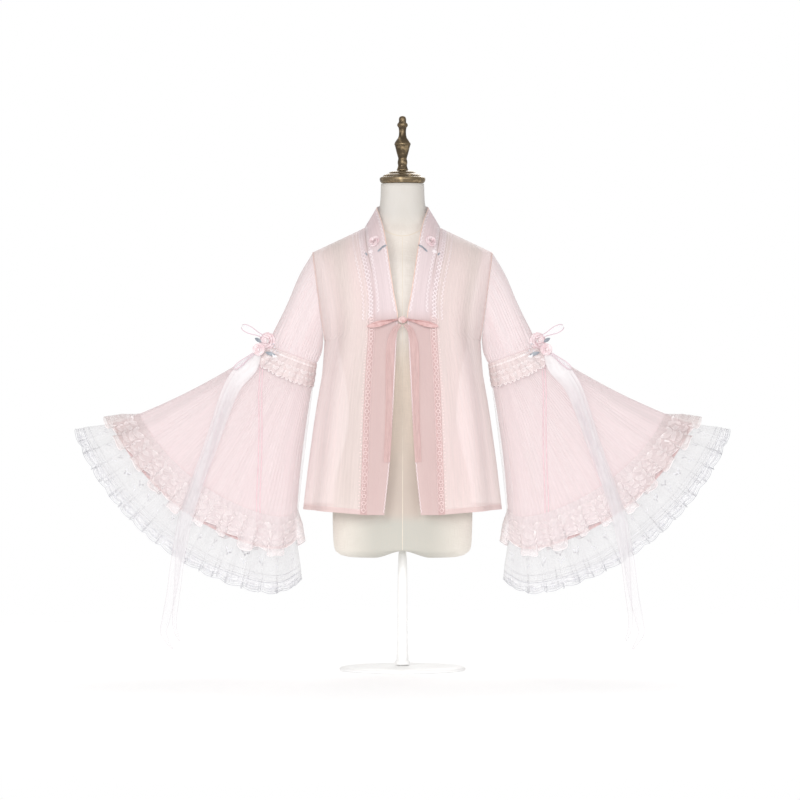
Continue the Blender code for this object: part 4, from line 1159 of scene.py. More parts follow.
class Finish:
    """A material of nodes, whose inputs are numbers, screen colours or other nodes' outputs."""

    def __init__(self, name, roughness, sheen=0.0, metallic=0.0):
        self.material = bpy.data.materials.new(name)
        self.material.use_nodes = True
        self.tree = self.material.node_tree
        self.shader = self.tree.nodes["Principled BSDF"]
        self.shader.inputs["Roughness"].default_value = roughness
        self.shader.inputs["Metallic"].default_value = metallic
        self.shader.inputs["Sheen Weight"].default_value = sheen

    def fill(self, socket, value):
        if isinstance(value, bpy.types.NodeSocket):
            self.tree.links.new(value, socket)
        elif value is not None:
            socket.default_value = srgb(*value) if socket.type == "RGBA" else value

    def node(self, kind, *values, **settings):
        node = self.tree.nodes.new(kind)
        for key, value in settings.items():
            setattr(node, key, value)
        for socket, value in zip(node.inputs, values):
            self.fill(socket, value)
        return node

    def math(self, operation, *values):
        return self.node("ShaderNodeMath", *values, operation=operation).outputs[0]

    def plus(self, first, second):
        return self.math("ADD", first, second)

    def times(self, first, second):
        return self.math("MULTIPLY", first, second)

    def span(self, value, low, high, first=0, second=1):
        """Softly from the first number to the second as a value goes from low to high."""
        node = self.node(
            "ShaderNodeMapRange", value, low, high, first, second, interpolation_type="SMOOTHSTEP"
        )
        return node.outputs[0]

    def uv(self, name):
        place = self.node("ShaderNodeUVMap", uv_map=name).outputs[0]
        parts = self.node("ShaderNodeSeparateXYZ", place)
        return place, parts.outputs[0], parts.outputs[1]

    def here(self):
        """A point's place in the world, since every object sits at the origin."""
        return self.node("ShaderNodeTexCoord").outputs["Object"]

    def axis(self, number):
        """The same along x, y or z."""
        return self.node("ShaderNodeSeparateXYZ", self.here()).outputs[number]

    def above_bow(self):
        """0 on cloth below the bow and 1 above it."""
        return self.span(self.axis(2), BOW_HEIGHT - BOW_BLEND, BOW_HEIGHT + BOW_BLEND)

    def noise(self, place, cells, detail=2):
        """Soft noise with a number of cells per metre along each axis."""
        scaled = self.node(
            "ShaderNodeVectorMath", place, (*cells, 1.0)[:3], operation="MULTIPLY"
        ).outputs[0]
        node = self.node("ShaderNodeTexNoise", scaled)
        node.inputs["Scale"].default_value = 1.0
        node.inputs["Detail"].default_value = detail
        return node.outputs["Fac"]

    def net(self, place, cell):
        """1 on the threads of a fine net, 0 in its holes."""
        node = self.node("ShaderNodeTexVoronoi", place, feature="DISTANCE_TO_EDGE")
        node.inputs["Scale"].default_value = 1 / cell
        node.inputs["Randomness"].default_value = 0.25
        return self.span(node.outputs["Distance"], 0.06, 0.20, 1, 0)

    def mix(self, share, first, second):
        node = self.node("ShaderNodeMix", data_type="RGBA")
        for socket, value in ((0, share), (6, first), (7, second)):
            self.fill(node.inputs[socket], value)
        return node.outputs[2]

    def bump(self, height, distance, strength):
        node = self.node("ShaderNodeBump")
        node.inputs["Strength"].default_value = strength
        node.inputs["Distance"].default_value = distance
        self.fill(node.inputs["Height"], height)
        self.fill(self.shader.inputs["Normal"], node.outputs[0])

    def end(self, colour, alpha=None, roughness=None):
        self.fill(self.shader.inputs["Base Color"], colour)
        self.fill(self.shader.inputs["Alpha"], alpha)
        self.fill(self.shader.inputs["Roughness"], roughness)
        return self.material


def linen_light_and_shade(finish):
    """Painted light and shade on the form's linen: painted shade lower down and on the neck,
    painted light towards the chest, painted shade in the middle of the hip and painted light at its
    sides, and in the opening a warm painted shade, darker lower down, for light through the jacket.
    """
    height = finish.axis(2)
    # Painted shade lower down, painted light towards the chest.
    pale = finish.mix(finish.span(height, 0.36, 0.90), (214, 208, 198), (244, 239, 232))
    # Painted shade on the neck.
    pale = finish.mix(finish.span(height, 0.96, 1.02), pale, (219, 215, 210))
    aside = finish.math("ABSOLUTE", finish.axis(0))
    # A warm painted shade in the opening, darker lower down, for light through the jacket.
    opening_shade = finish.mix(finish.span(height, *FORM_OPENING_SHADE_HEIGHTS), (202, 188, 178), (246, 234, 218))
    opening = finish.times(
        finish.span(aside, *FORM_OPENING, 1, 0), finish.span(height, *FORM_OPENING_TOP, 1, 0)
    )
    pale = finish.mix(opening, pale, opening_shade)
    # Painted shade in the middle of the hip, painted light at its sides.
    hip_light_and_shade = finish.mix(finish.span(aside, *FORM_HIP_SHADE_TO_LIGHT), (195, 194, 186), (254, 247, 237))
    return finish.mix(finish.span(height, *FORM_HIP_TOP), hip_light_and_shade, pale)


def linen():
    """Plain-woven linen with slubs."""
    finish = Finish("Form linen", 0.85, sheen=0.15)
    place, x, y = finish.uv("Cloth")
    warp, weft = (finish.math("SINE", finish.times(way, TURN / LINEN_THREAD)) for way in (x, y))
    slubs = finish.noise(place, LINEN_SLUBS, 3)
    cross = finish.noise(place, LINEN_SLUBS[::-1], 3)
    yarn = finish.plus(slubs, cross)
    finish.bump(finish.plus(finish.times(warp, weft), yarn), 0.00012, 0.6)
    patches = finish.noise(place, LINEN_PATCHES, 3)
    tone = finish.plus(finish.times(yarn, 0.35), finish.times(patches, 0.3))
    worn = finish.times(finish.span(tone, 0.3, 0.7), 0.5)
    # The form's painted light and shade, under random worn patches.
    return finish.end(finish.mix(worn, linen_light_and_shade(finish), (208, 199, 187)))


def chiffon(name, pale, deep, thin, thick, hem=None, seams=False, drifts=None, upper=None):
    """Sheer crinkled cloth, more opaque on its creases and where it is folded double.

    hem is the end of the cloth that has one, "first" or "last". drifts is a second tone in broad
    lengthwise drifts. upper gives the tone above the bow and the one high on the collar.
    """
    finish = Finish(name, 0.60, sheen=0.25)
    place, _, along = finish.uv("Cloth")
    _, to_side, to_end = finish.uv("Edges")
    fine = finish.noise(place, CREASES)
    broad = finish.noise(place, STREAKS)
    tone = finish.plus(finish.times(fine, 0.55), finish.times(broad, 0.45))
    tone = finish.span(tone, 0.30, 0.70)
    double, pink = 0.0, HEM_PINK
    if hem == "first":
        double = finish.span(along, HEM_DEPTH - EDGE_SOFTNESS, HEM_DEPTH, 1, 0)
    if hem == "last":
        double = finish.span(to_end, BELL_HEM_DEPTH - EDGE_SOFTNESS, BELL_HEM_DEPTH, 1, 0)
        pink = BELL_HEM_PINK
    if seams:
        seam = finish.span(to_side, SEAM_DEPTH - EDGE_SOFTNESS, SEAM_DEPTH, SEAM_COVER, 0)
        double = finish.math("MAXIMUM", double, seam)
    colour = finish.mix(tone, pale, deep)
    if drifts:
        drift = finish.span(finish.noise(place, DRIFTS, 1), 0.34, 0.66)
        colour = finish.mix(drift, colour, drifts)
    if upper:
        colour = finish.mix(finish.above_bow(), colour, upper[0])
        patch = finish.times(
            finish.span(finish.axis(2), *COLLAR_PATCH), finish.span(to_side, *COLLAR_PATCH_SIDE)
        )
        colour = finish.mix(patch, colour, upper[1])
    cover = finish.plus(finish.span(tone, 0, 1, thin, thick), finish.times(double, DOUBLE_COVER))
    finish.bump(tone, 0.0005, 0.3)
    return finish.end(finish.mix(double, colour, pink), alpha=cover)


def netting(name, colour, shade, thread_cover, hole_cover, cell, upper=None, tip_shade=None):
    """A fine net, whiter on its threads.

    upper gives the colour above the bow, and outer the darker one towards the tips of the sleeves,
    which is painted shade.
    """
    finish = Finish(name, 0.65, sheen=0.2)
    place = finish.uv("Cloth")[0]
    threads = finish.net(place, cell)
    wisps = finish.noise(place, NET_WISPS)
    cover = finish.span(threads, 0, 1, hole_cover, thread_cover)
    cover = finish.times(cover, finish.span(wisps, 0.3, 0.7, 0.8, 1.2))
    finish.bump(threads, 0.0002, 0.5)
    tone = finish.mix(wisps, colour, shade)
    if upper:
        tone = finish.mix(finish.above_bow(), tone, upper)
    # Painted shade: the net grows darker towards the sleeves' tips.
    if tip_shade:
        out = finish.span(finish.math("ABSOLUTE", finish.axis(0)), *SLEEVE_TIP_SHADE)
        tone = finish.mix(out, tone, tip_shade)
    return finish.end(tone, alpha=cover)


def embroidery(name, light, dark):
    """Lustrous thread in fine satin stitch."""
    finish = Finish(name, 0.50, sheen=0.3)
    place = finish.here()
    strands = finish.noise(place, STITCH_STRANDS)
    patches = finish.noise(place, STITCH_PATCHES, 1)
    finish.bump(strands, 0.0003, 0.6)
    tone = finish.times(finish.plus(strands, patches), 0.5)
    return finish.end(finish.mix(finish.span(tone, 0.35, 0.65), light, dark))


def film(name, colour, edge_colour, cover, edge_cover, edge_width, gathered=None):
    """Crisp sheer ribbon with a woven edge; gathered gives a whiter colour above the elbow, which
    is painted light, where the ribbon also grows denser.
    """
    finish = Finish(name, 0.35, sheen=0.1)
    place = finish.uv("Cloth")[0]
    to_side = finish.uv("Edges")[1]
    border = finish.span(to_side, edge_width * 0.7, edge_width, 1, 0)
    finish.bump(finish.noise(place, ORGANZA_RIBS), 0.0001, 0.4)
    cloudy = finish.noise(place, ORGANZA_CLOUDS)
    body = finish.span(cloudy, 0.35, 0.65, cover * 0.85, cover * 1.15)
    # Painted light: the colour grows whiter higher up, where the gathered ribbon also grows denser.
    if gathered:
        rise = finish.span(finish.axis(2), *GATHERED_AND_LIT_SPAN)
        colour = finish.mix(rise, colour, gathered)
        body = finish.plus(body, finish.times(rise, GATHERED_COVER))
    alpha = finish.math("MAXIMUM", body, finish.times(border, edge_cover))
    return finish.end(finish.mix(border, colour, edge_colour), alpha=alpha)


def satin(name, light, dark, roughness=0.32, cover=None):
    """Ribbon satin with fine lengthwise ribs and a soft gloss."""
    finish = Finish(name, roughness, sheen=0.2)
    place = finish.here()
    finish.bump(finish.noise(place, SATIN_RIBS), 0.00025, 0.5)
    patches = finish.noise(place, SATIN_PATCHES)
    return finish.end(finish.mix(finish.span(patches, 0.3, 0.7), light, dark), alpha=cover)


def bronze(name, dark, bright):
    """Aged bronze: nearly black in the hollows, golden on its ridges and in cloudy patches."""
    finish = Finish(name, 0.36, metallic=0.85)
    place = finish.here()
    ridge = finish.node("ShaderNodeNewGeometry").outputs["Pointiness"]
    cloudy = finish.noise(place, BRONZE_CLOUDS, 4)
    tone = finish.math(
        "MAXIMUM", finish.span(ridge, 0.50, 0.60), finish.span(cloudy, 0.45, 0.75, 0, 0.55)
    )
    finish.bump(finish.noise(place, BRONZE_PITS, 3), 0.00015, 0.5)
    return finish.end(
        finish.mix(tone, dark, bright), roughness=finish.span(cloudy, 0.3, 0.7, 0.26, 0.50)
    )


def white_paint():
    finish = Finish("White paint", 0.4)
    place = finish.here()
    finish.bump(finish.noise(place, PAINT_PEEL), 0.0001, 0.4)
    marks = finish.noise(place, PAINT_MARKS, 4)
    colour = finish.mix(finish.span(marks, 0.4, 0.7), (250, 250, 249), (245, 244, 243))
    return finish.end(colour, roughness=finish.span(marks, 0.3, 0.7, 0.35, 0.5))


def floor_paper():
    """Pale paper that glows a little and fades into the background at its rim."""
    finish = Finish("Pale floor", 0.9)
    place = finish.here()
    reach = finish.node("ShaderNodeVectorMath", place, operation="LENGTH").outputs["Value"]
    fibres = finish.noise(place, PAPER_FIBRES)
    finish.bump(fibres, 0.0002, 0.2)
    colour = finish.mix(fibres, (252, 252, 252), (250, 250, 250))
    finish.shader.inputs["Emission Color"].default_value = (1.0, 1.0, 1.0, 1.0)
    finish.shader.inputs["Emission Strength"].default_value = FLOOR_GLOW
    return finish.end(colour, alpha=finish.span(reach, FLOOR_RADIUS * 0.25, FLOOR_RADIUS, 1, 0))


# Dress form and stand

def form_ring(row, rise_share=0.0, shrink=1.0):
    """One section of the form: flatter at front and back than an ellipse."""
    height, half_width, front, back, roundness = row
    angles = np.arange(FORM_SEGMENTS) / FORM_SEGMENTS * TURN
    across, ahead = (
        np.copysign(np.abs(part) ** (2 / roundness), part)
        for part in (np.cos(angles), np.sin(angles))
    )
    x = half_width * across * shrink
    y = np.where(ahead > 0, back, front) * ahead * shrink
    rise = FORM_NOTCH_HEIGHT * ease(1 - np.abs(x) / FORM_NOTCH_HALF_WIDTH) * rise_share
    return np.stack((x, y, height + rise), axis=1)


def form_sheet():
    """Rings from the socket under the form up to the top of the neck."""
    lowest = FORM_RINGS[0]
    under = (lowest[0] - FORM_UNDER_DROP, *lowest[1:])
    angles = np.arange(FORM_SEGMENTS) / FORM_SEGMENTS * TURN
    socket = FORM_SOCKET_RADIUS * np.stack((np.cos(angles), np.sin(angles)), axis=1)
    height = np.full((FORM_SEGMENTS, 1), lowest[0] + FORM_NOTCH_HEIGHT)
    rings = [np.hstack((socket, height))]
    rings += [form_ring(under, 1.0, shrink) for shrink in FORM_UNDER_SHARES]
    steps = (len(FORM_RINGS) - 1) * FORM_STEPS
    for place in np.linspace(0, len(FORM_RINGS) - 1, steps + 1):
        rings.append(form_ring(read_table(FORM_RINGS, place), max(0.0, 1.0 - place)))
    return np.array(rings)


def make_form(material, thread):
    """The form, with the seam round its neck and the ones down its front and back."""
    points = form_sheet()
    form = sheet_object("form", points, material, closed=True, caps="both")
    ride(form, "linen", "dress_form")
    surface = Surface(points, True)
    heights = points[FORM_UNDER_RINGS:, 0, 2]
    above = range(FORM_UNDER_RINGS, len(points))
    seams = Stitches()
    columns = np.arange(FORM_SEGMENTS)
    rows = np.full(FORM_SEGMENTS, np.interp(NECK_SEAM_HEIGHT, heights, above))
    for _ in range(NECK_SEAM_TRIES):
        across = surface.at(columns, rows, 0)[0][:, 0]
        level = NECK_SEAM_HEIGHT + NECK_SEAM_RISE * across ** 2
        rows = (rows + np.interp(level, heights, above)) / 2
    seams.line(surface, columns, rows, *NECK_SEAM, ring=True)
    bottom = FORM_UNDER_RINGS + FORM_STEPS
    top = np.interp(NECK_SEAM_HEIGHT - FORM_SIDE_SEAM_GAP, heights, above)
    for share in (0.25, 0.75):
        levels = np.linspace(bottom, top, 90)
        places = np.full_like(levels, share * FORM_SEGMENTS)
        seams.line(surface, places, levels, *FORM_SIDE_SEAM)
    seams.make("form_seams", LEFT, thread, "linen")


def turned_object(name, profile, material, slot, node):
    """A solid turned about the vertical axis, from a profile whose corners are rounded."""
    points = np.array(profile)
    for _ in range(CORNER_CUTS):
        quarter = points[:-1] * 0.75 + points[1:] * 0.25
        beyond = points[:-1] * 0.25 + points[1:] * 0.75
        inner = np.stack((quarter, beyond), axis=1).reshape(-1, 2)
        points = np.vstack((points[:1], inner, points[-1:]))
    rim = points[points[:, 0] > 1e-5]
    angles = np.arange(TURNED_SEGMENTS) / TURNED_SEGMENTS * TURN
    rings = np.stack((
        rim[:, :1] * np.cos(angles), rim[:, :1] * np.sin(angles),
        np.repeat(rim[:, 1:], TURNED_SEGMENTS, axis=1),
    ), axis=2)[::-1]
    item = sheet_object(name, rings, material, closed=True, caps="both")
    return ride(item, slot, node)


# Jacket body

def raised(points):
    """An open sheet moved out from its solid's inner face to the middle of the wall."""
    return points + sheet_normals(points, False) * MID_WALL


def hang(item, slot, node):
    """A sheet of cloth that moves with the part and stands for its node, where one is given."""
    ride(item, slot, *([node] if node else []))
    return item


def strip_beside(surface, start, end, columns, lift):
    """A strip of points on a sheet, between two distances from its last column."""
    across, _ = lengths(surface.points, surface.closed)
    rows = np.arange(len(surface.points))
    places = np.zeros((len(rows), columns))
    for row in rows:
        to_seam = across[row, -1] - across[row]
        places[row] = np.interp(
            np.linspace(end, start, columns), to_seam[::-1], np.arange(len(to_seam))[::-1]
        )
    grid_rows = np.repeat(rows[:, None], columns, axis=1)
    return surface.at(places, grid_rows.astype(float), lift)[0]


def scallop_line(work, surface, first, last, place, pitch, depth, width):
    """A thread in scallops beside a sheet's edge, from one row to another."""
    column, across = place
    length = (last - first) * surface.row_height
    count = max(int(round(length / pitch)), 1)
    steps = np.linspace(0, count, count * 8 + 1)
    swing = depth * np.abs(np.sin(math.pi * steps))
    rows = first + (last - first) * steps / count
    work.line(surface, *surface.shifted(column, rows, across - swing, 0.0), LOW_LIFT, width)


def dot_row(work, surface, place, rows, sway, radius):
    """Small embroidered dots in a zigzag along a column, moved aside by a distance."""
    column, across = place
    for order, row in enumerate(rows):
        x = across - sway * DOT_ZIGZAG[order % len(DOT_ZIGZAG)]
        turn = DOT_TURN * (-1) ** order
        work.petals(surface, column, row, [(x, 0, radius * DOT_LENGTH, radius, turn)], LOW_LIFT)


def make_braid(label, side, front, finishes):
    """Lace along the band's seam: rings and flowers below the bow, rows of dots above it."""
    surface = Surface(front, False)
    points = strip_beside(surface, BRAID_SEAM, BRAID_WIDTH, BRAID_COLUMNS, BRAID_LIFT)
    braid = Surface(points, False)
    middle = (BRAID_COLUMNS - 1) / 2
    last = len(points) - 1
    bow_row = last * BRAID_BOW_SHARE
    pitch = BRAID_PITCH / braid.row_height
    turns = np.arange(12) / 12 * TURN
    work = Stitches()
    for row in np.arange(pitch * 0.6, bow_row, pitch):
        places = braid.shifted(middle, row, BRAID_RING * np.cos(turns), BRAID_RING * np.sin(turns))
        work.line(braid, *places, LOW_LIFT, BRAID_RING_THREAD, ring=True)
        work.flower(braid, middle, row + pitch / 2, *BRAID_FLOWER)
    for across in (-BRAID_EDGE, BRAID_EDGE):
        scallop_line(work, braid, 1, bow_row, (middle, across), *BRAID_SCALLOP)
    lace = strip_beside(surface, BRAID_SEAM, COLLAR_LACE_WIDTH, BRAID_COLUMNS, COLLAR_LACE_LIFT)
    wide = Surface(lace, False)
    beside, sway, radius = BRAID_DOTS
    dot_row(work, wide, (middle, beside), np.arange(1, bow_row, pitch / 2), sway, radius)
    collar = Stitches()
    dots = np.arange(bow_row, last - 1, COLLAR_DOT_PITCH / wide.row_height)
    for across, sway, radius in COLLAR_DOTS:
        dot_row(collar, wide, (middle, across), dots, sway, radius)
    item = sheet_object(f"braid_lace_{label}", for_side(points, side), finishes["braid_net"])
    sewn = [
        work.make(f"braid_flowers_{label}", side, finishes["braid_thread"], "lace"),
        collar.make(f"collar_lace_{label}", side, finishes["collar_thread"], "lace"),
    ]
    hang(item, "lace", f"braid_{label}")


def edge_work(label, side, front, band, finishes):
    """Peach piping at the armhole, a peach strip of painted shade along the neck opening, lace on
    the band, the collar's leaves.
    """
    armhole = Surface(front, False)
    opening = Surface(band, False)
    last, top, wide = len(front) - 1, len(band) - 1, BAND_COLUMNS - 1
    piping = Stitches()
    rows = np.linspace(last * UNDERARM_LEVEL / SHOULDER_LEVEL, last, 70)
    piping.line(armhole, np.full_like(rows, 0.4), rows, *ARMHOLE_PIPING)
    # A peach strip along the neck opening: painted shade of the collar's inside.
    rows = np.linspace(top * OPENING_START, top, 120)
    piping.line(opening, np.full_like(rows, wide - 0.1), rows, *OPENING_SHADE_STRIP)
    piping.make(f"piping_{label}", side, finishes["piping"], "chiffon")
    lace = Stitches()
    dots = np.arange(top * BAND_DOTS_START, top - 1, COLLAR_DOT_PITCH / opening.row_height)
    for share, sway in BAND_DOTS:
        dot_row(lace, opening, (wide * share, 0.0), dots, sway, BAND_DOT_RADIUS)
    edge = (wide - 0.15, 0.0)
    scallop_line(lace, opening, 1, top * BAND_SCALLOPS_END, edge, *BAND_SCALLOP)
    for share, turn in BAND_FLOWERS:
        row = top * BAND_FLOWER_LEVEL
        lace.flower(opening, wide * share, row, BAND_FLOWER_RADIUS, 5, THREAD_LIFT, turn)
    lace.make(f"edge_lace_{label}", side, finishes["collar_thread"], "lace")
    leaves = Stitches()
    for share, level, turn in COLLAR_LEAVES:
        leaves.petals(
            opening, wide * share, top * level / SHOULDER_LEVEL, [(0, 0, *COLLAR_LEAF, turn)],
            COLLAR_LEAF_LIFT, COLLAR_LEAF_HEIGHT,
        )
    leaves.make(f"collar_leaves_{label}", side, finishes["leaf"], "leaf")


def make_body(finishes):
    front = creased(raised(front_sheet()), FRONT_SEED)
    back = creased(raised(back_sheet()), BACK_SEED)
    band = raised(band_sheet())
    neck = raised(neck_band_sheet())
    item = sheet_object("back_panel", back, finishes["body"])
    hang(item, "chiffon", "back")
    item = sheet_object("collar_back", neck, finishes["band"])
    hang(item, "chiffon", "neck_band")
    for side, label in SIDES:
        item = sheet_object(f"front_panel_{label}", for_side(front, side), finishes["body"])
        hang(item, "chiffon", f"front_{label}")
        item = sheet_object(f"front_band_{label}", for_side(band, side), finishes["band"])
        hang(item, "chiffon", f"band_{label}")
        make_braid(label, side, front, finishes)
        edge_work(label, side, front, band, finishes)


# Sleeves

def pleated(points, count, depths, seed):
    """Fine pleats that run down a closed sheet, of a depth at each end."""
    rows, columns = points.shape[:2]
    around = np.arange(columns)[None, :] / columns
    down = np.linspace(0, 1, rows)[:, None]
    changes, sway = PLEAT_SWAY
    phase = TURN * count * around + sway * np.sin(TURN * changes * around + seed)
    changes, spread = PLEAT_SPREAD
    phase = phase + spread * np.sin(TURN * changes * around - seed) * down
    changes, lower, twist = PLEAT_TWIST
    phase = phase + twist * np.sin(TURN * (changes * around + lower * down) + seed)
    changes, lower, contrast = PLEAT_PATCHES
    patches = np.sin(TURN * (changes * around + lower * down) + 2 * seed)
    depth = depths[0] + (depths[1] - depths[0]) * down
    out = depth * (1 - contrast + contrast * patches) * np.cos(phase)
    return points + sheet_normals(points, True) * out[..., None]


def nearest_places(points, targets):
    """Columns and rows on a sleeve's front whose place seen from the front is given."""
    flat = points[..., [0, 2]].copy()
    flat[points[..., 1] > 0] = 9.0
    rows, columns = [], []
    for x, height in targets:
        row, column = np.unravel_index(
            np.argmin(((flat - (x, height)) ** 2).sum(axis=2)), flat.shape[:2]
        )
        rows.append(row)
        columns.append(column)
    steps = np.arange(len(rows))
    fit = min(3, len(rows) - 1)
    smooth = [np.polyval(np.polyfit(steps, values, fit), steps) for values in (columns, rows)]
    return smooth[0], smooth[1]


def bell_seams(label, side, bell, material):
    """Two narrow piped seams down the front of the bell."""
    surface = Surface(bell, True)
    work = Stitches()
    for path in BELL_SEAMS:
        path = np.array(path)
        steps = np.linspace(0, len(path) - 1, 40)
        targets = np.array([read_table(path, step) for step in steps]) * (-1, 1)
        columns, rows = nearest_places(bell, targets)
        for aside in (-SEAM_PAIR, SEAM_PAIR):
            places = surface.shifted(columns, rows, aside, 0.0)
            work.line(surface, *places, *SEAM_THREAD)
    work.make(f"bell_piping_{label}", side, material, "chiffon")


def ring_places(surface, count, start):
    """Columns at even steps round a closed sheet."""
    return (np.arange(count) + start) / count * surface.points.shape[1]


def thread(work, surface, columns, row, depth, width):
    """A thread in scallops all round a closed sheet, beside a row."""
    count = len(columns)
    steps = np.arange(count * 10) / (count * 10)
    rows = row - depth / surface.row_height * np.abs(np.sin(math.pi * count * steps))
    places = steps * surface.points.shape[1]
    work.line(surface, places, rows, THREAD_LIFT, width, ring=True)


def shells(work, surface, columns, row, radii, width):
    """Nested arcs that open towards the cuff, one group at each place."""
    turns = np.linspace(SHELL_END, math.pi - SHELL_END, 9)
    for column in columns:
        for radius in radii:
            places = surface.shifted(column, row, radius * np.cos(turns), radius * np.sin(turns))
            work.line(surface, *places, THREAD_LIFT, width)


def sprays(work, surface, columns, row, size):
    """A flower with a curved stem of small leaves at each side."""
    long, short = (size * share for share in SPRAY_LEAF)
    leaves = [
        (way * size * reach, size * rise, long, short, way * slope)
        for way in (-1, 1) for reach, rise, slope in SPRAY_LEAVES
    ]
    for order, column in enumerate(columns[::SCALLOPS_TO_A_SPRAY]):
        work.flower(surface, column, row, size, 6, THREAD_LIFT, SPRAY_TURN * order)
        work.petals(surface, column, row, leaves, THREAD_LIFT)


def plumes(work, surface, columns, row, size):
    """Curved plumes of close parallel threads that lean one way and the other."""
    turns = np.linspace(0, PLUME_SWEEP, 8)
    threads, first, step = PLUME_THREADS
    aside, below = (size * share for share in PLUME_PLACE)
    for order, column in enumerate(columns):
        way = -1 if order % 2 else 1
        for radius in (size * (first + step * number) for number in range(threads)):
            across = way * (aside - radius * np.sin(turns))
            along = radius * np.cos(turns) - below
            places = surface.shifted(column, row, across, along)
            work.line(surface, *places, THREAD_LIFT, PLUME_WIDTH)


def flowers(work, surface, columns, row, radius, petals, lift, height):
    for column in columns:
        work.flower(surface, column, row, radius, petals, lift, 0.0, height)


def groups(work, surface, columns, row, ovals):
    for column in columns:
        work.petals(surface, column, row, ovals, THREAD_LIFT)


def lace_work(points, name, scallops):
    """The needlework of one lace, laid on its strip kind by kind."""
    kinds = {
        "thread": thread, "shells": shells, "sprays": sprays, "plumes": plumes,
        "flowers": flowers, "groups": groups,
    }
    surface = Surface(points, True)
    work = Stitches()
    for kind, number, start, down, *sizes in LACES[name]:
        columns = ring_places(surface, int(scallops * number), start)
        kinds[kind](work, surface, columns, (len(points) - 1) * down, *sizes)
    return work


def lining_sheet(bell):
    """The tulle layer under the chiffon, which shows along the inner edge."""
    points = bell_rows(LINING_START, CHIFFON_END, LINING_ROWS, bell, LINING_DEPTH)
    angles = even_ring(BELL_COLUMNS, BELL_HALF_LENGTH, HEM_HALF_DEPTH)
    inner = np.maximum(0.0, -np.cos(angles)) ** LINING_EDGE_SHARPNESS
    down = np.sin(math.pi * np.linspace(0, 1, LINING_ROWS)) ** 0.6
    points[:, :, 0] += LINING_SHOWS * down[:, None] * inner
    return points


def make_sleeves(finishes):
    upper = pleated(upper_sleeve_sheet(), UPPER_PLEATS, UPPER_PLEAT_DEPTHS, UPPER_SEED)
    form = bell_sheet()
    chiffon_part = bell_rows(0.0, CHIFFON_END, BELL_ROWS, form, MID_WALL)
    bell = pleated(chiffon_part, BELL_PLEATS, BELL_PLEAT_DEPTHS, BELL_SEED)
    lining = lining_sheet(form)
    frill, tier, flounce, border = (ruffle_sheet(form, **strip) for strip in RUFFLES.values())
    cords = lace_work(border, "border_cords", BORDER_SCALLOPS)
    border_stitches = lace_work(border, "border", BORDER_SCALLOPS)
    # The flounce's and border's white threads are painted grey, as painted shade of white lace
    # against white.
    works = {
        "frill": (("stitches", lace_work(frill, "frill", FRILL_SCALLOPS), "thread"),),
        "tier": (("stitches", lace_work(tier, "tier", TIER_SCALLOPS), "thread"),),
        "flounce": (("stitches", lace_work(flounce, "flounce", BORDER_SCALLOPS), "pale_shade_thread"),),
        "border": (
            ("stitches", border_stitches, "pale_shade_thread"), ("outlines", cords, "grey_shade_thread"),
        ),
    }
    # Columns: name, points, cut, slot, node, finish, piece that it rests on
    pieces = (
        ("sleeve_top", upper, "upper_sleeve", "chiffon", "upper_sleeve", "sleeve", "form"),
        ("bell_cloth", bell, "bell", "chiffon", "bell", "bell", "sleeve_top"),
        ("bell_tulle", lining, "lining", "tulle", None, "lining", "sleeve_top"),
        ("frill_lace", frill, "frill", "lace", "elbow_frill", "frill_net", "bell_cloth"),
        ("tier_lace", tier, "tier", "lace", "lace_tier", "tier_net", "bell_cloth"),
        ("flounce_tulle", flounce, "flounce", "tulle", "flounce", "tulle", "bell_cloth"),
        ("border_lace", border, "border", "lace", "lace_border", "border_net", "flounce_tulle"),
    )
    for side, label in SIDES:
        for name, points, cut, slot, node, finish, on in pieces:
            item = sheet_object(
                f"{name}_{label}", for_side(points, side), finishes[finish], closed=True
            )
            sewn = [
                work.make(f"{name}_{kind}_{label}", side, finishes[thread], slot)
                for kind, work, thread in works.get(cut, ())
            ]
            hang(item, slot, node and f"{node}_{label}")
        bell_seams(label, side, bell, finishes["seam_ribbon"])


# Ribbons, roses and leaves

def ribbon_sheet(rows, levels, columns, flute=0.0, twist=0.0):
    """A ribbon whose face looks forward, along the middle line of a table."""
    places = np.linspace(0, len(rows) - 1, levels + 1)
    middle = np.array([read_table(rows, place) for place in places])
    line = middle[:, :3] * MIRROR - ACROSS_FRONT * RIBBON / 2
    along = np.gradient(line, axis=0)
    across = np.cross(ACROSS_FRONT, along)
    across /= np.linalg.norm(across, axis=1, keepdims=True)
    shares = np.linspace(-1, 1, columns)
    half = middle[:, 3] / 2
    points = line[:, None] + across[:, None] * half[:, None, None] * shares[None, :, None]
    down = np.linspace(0, 1, levels + 1)[:, None]
    waves = np.cos(shares * math.pi * 1.5 + 9 * down) + 0.6 * np.sin(TURN * 5 * down + 2 * shares)
    points[..., 1] += flute * waves * ease(down * 8) - twist * shares * np.sin(TURN * 2.2 * down)
    return points


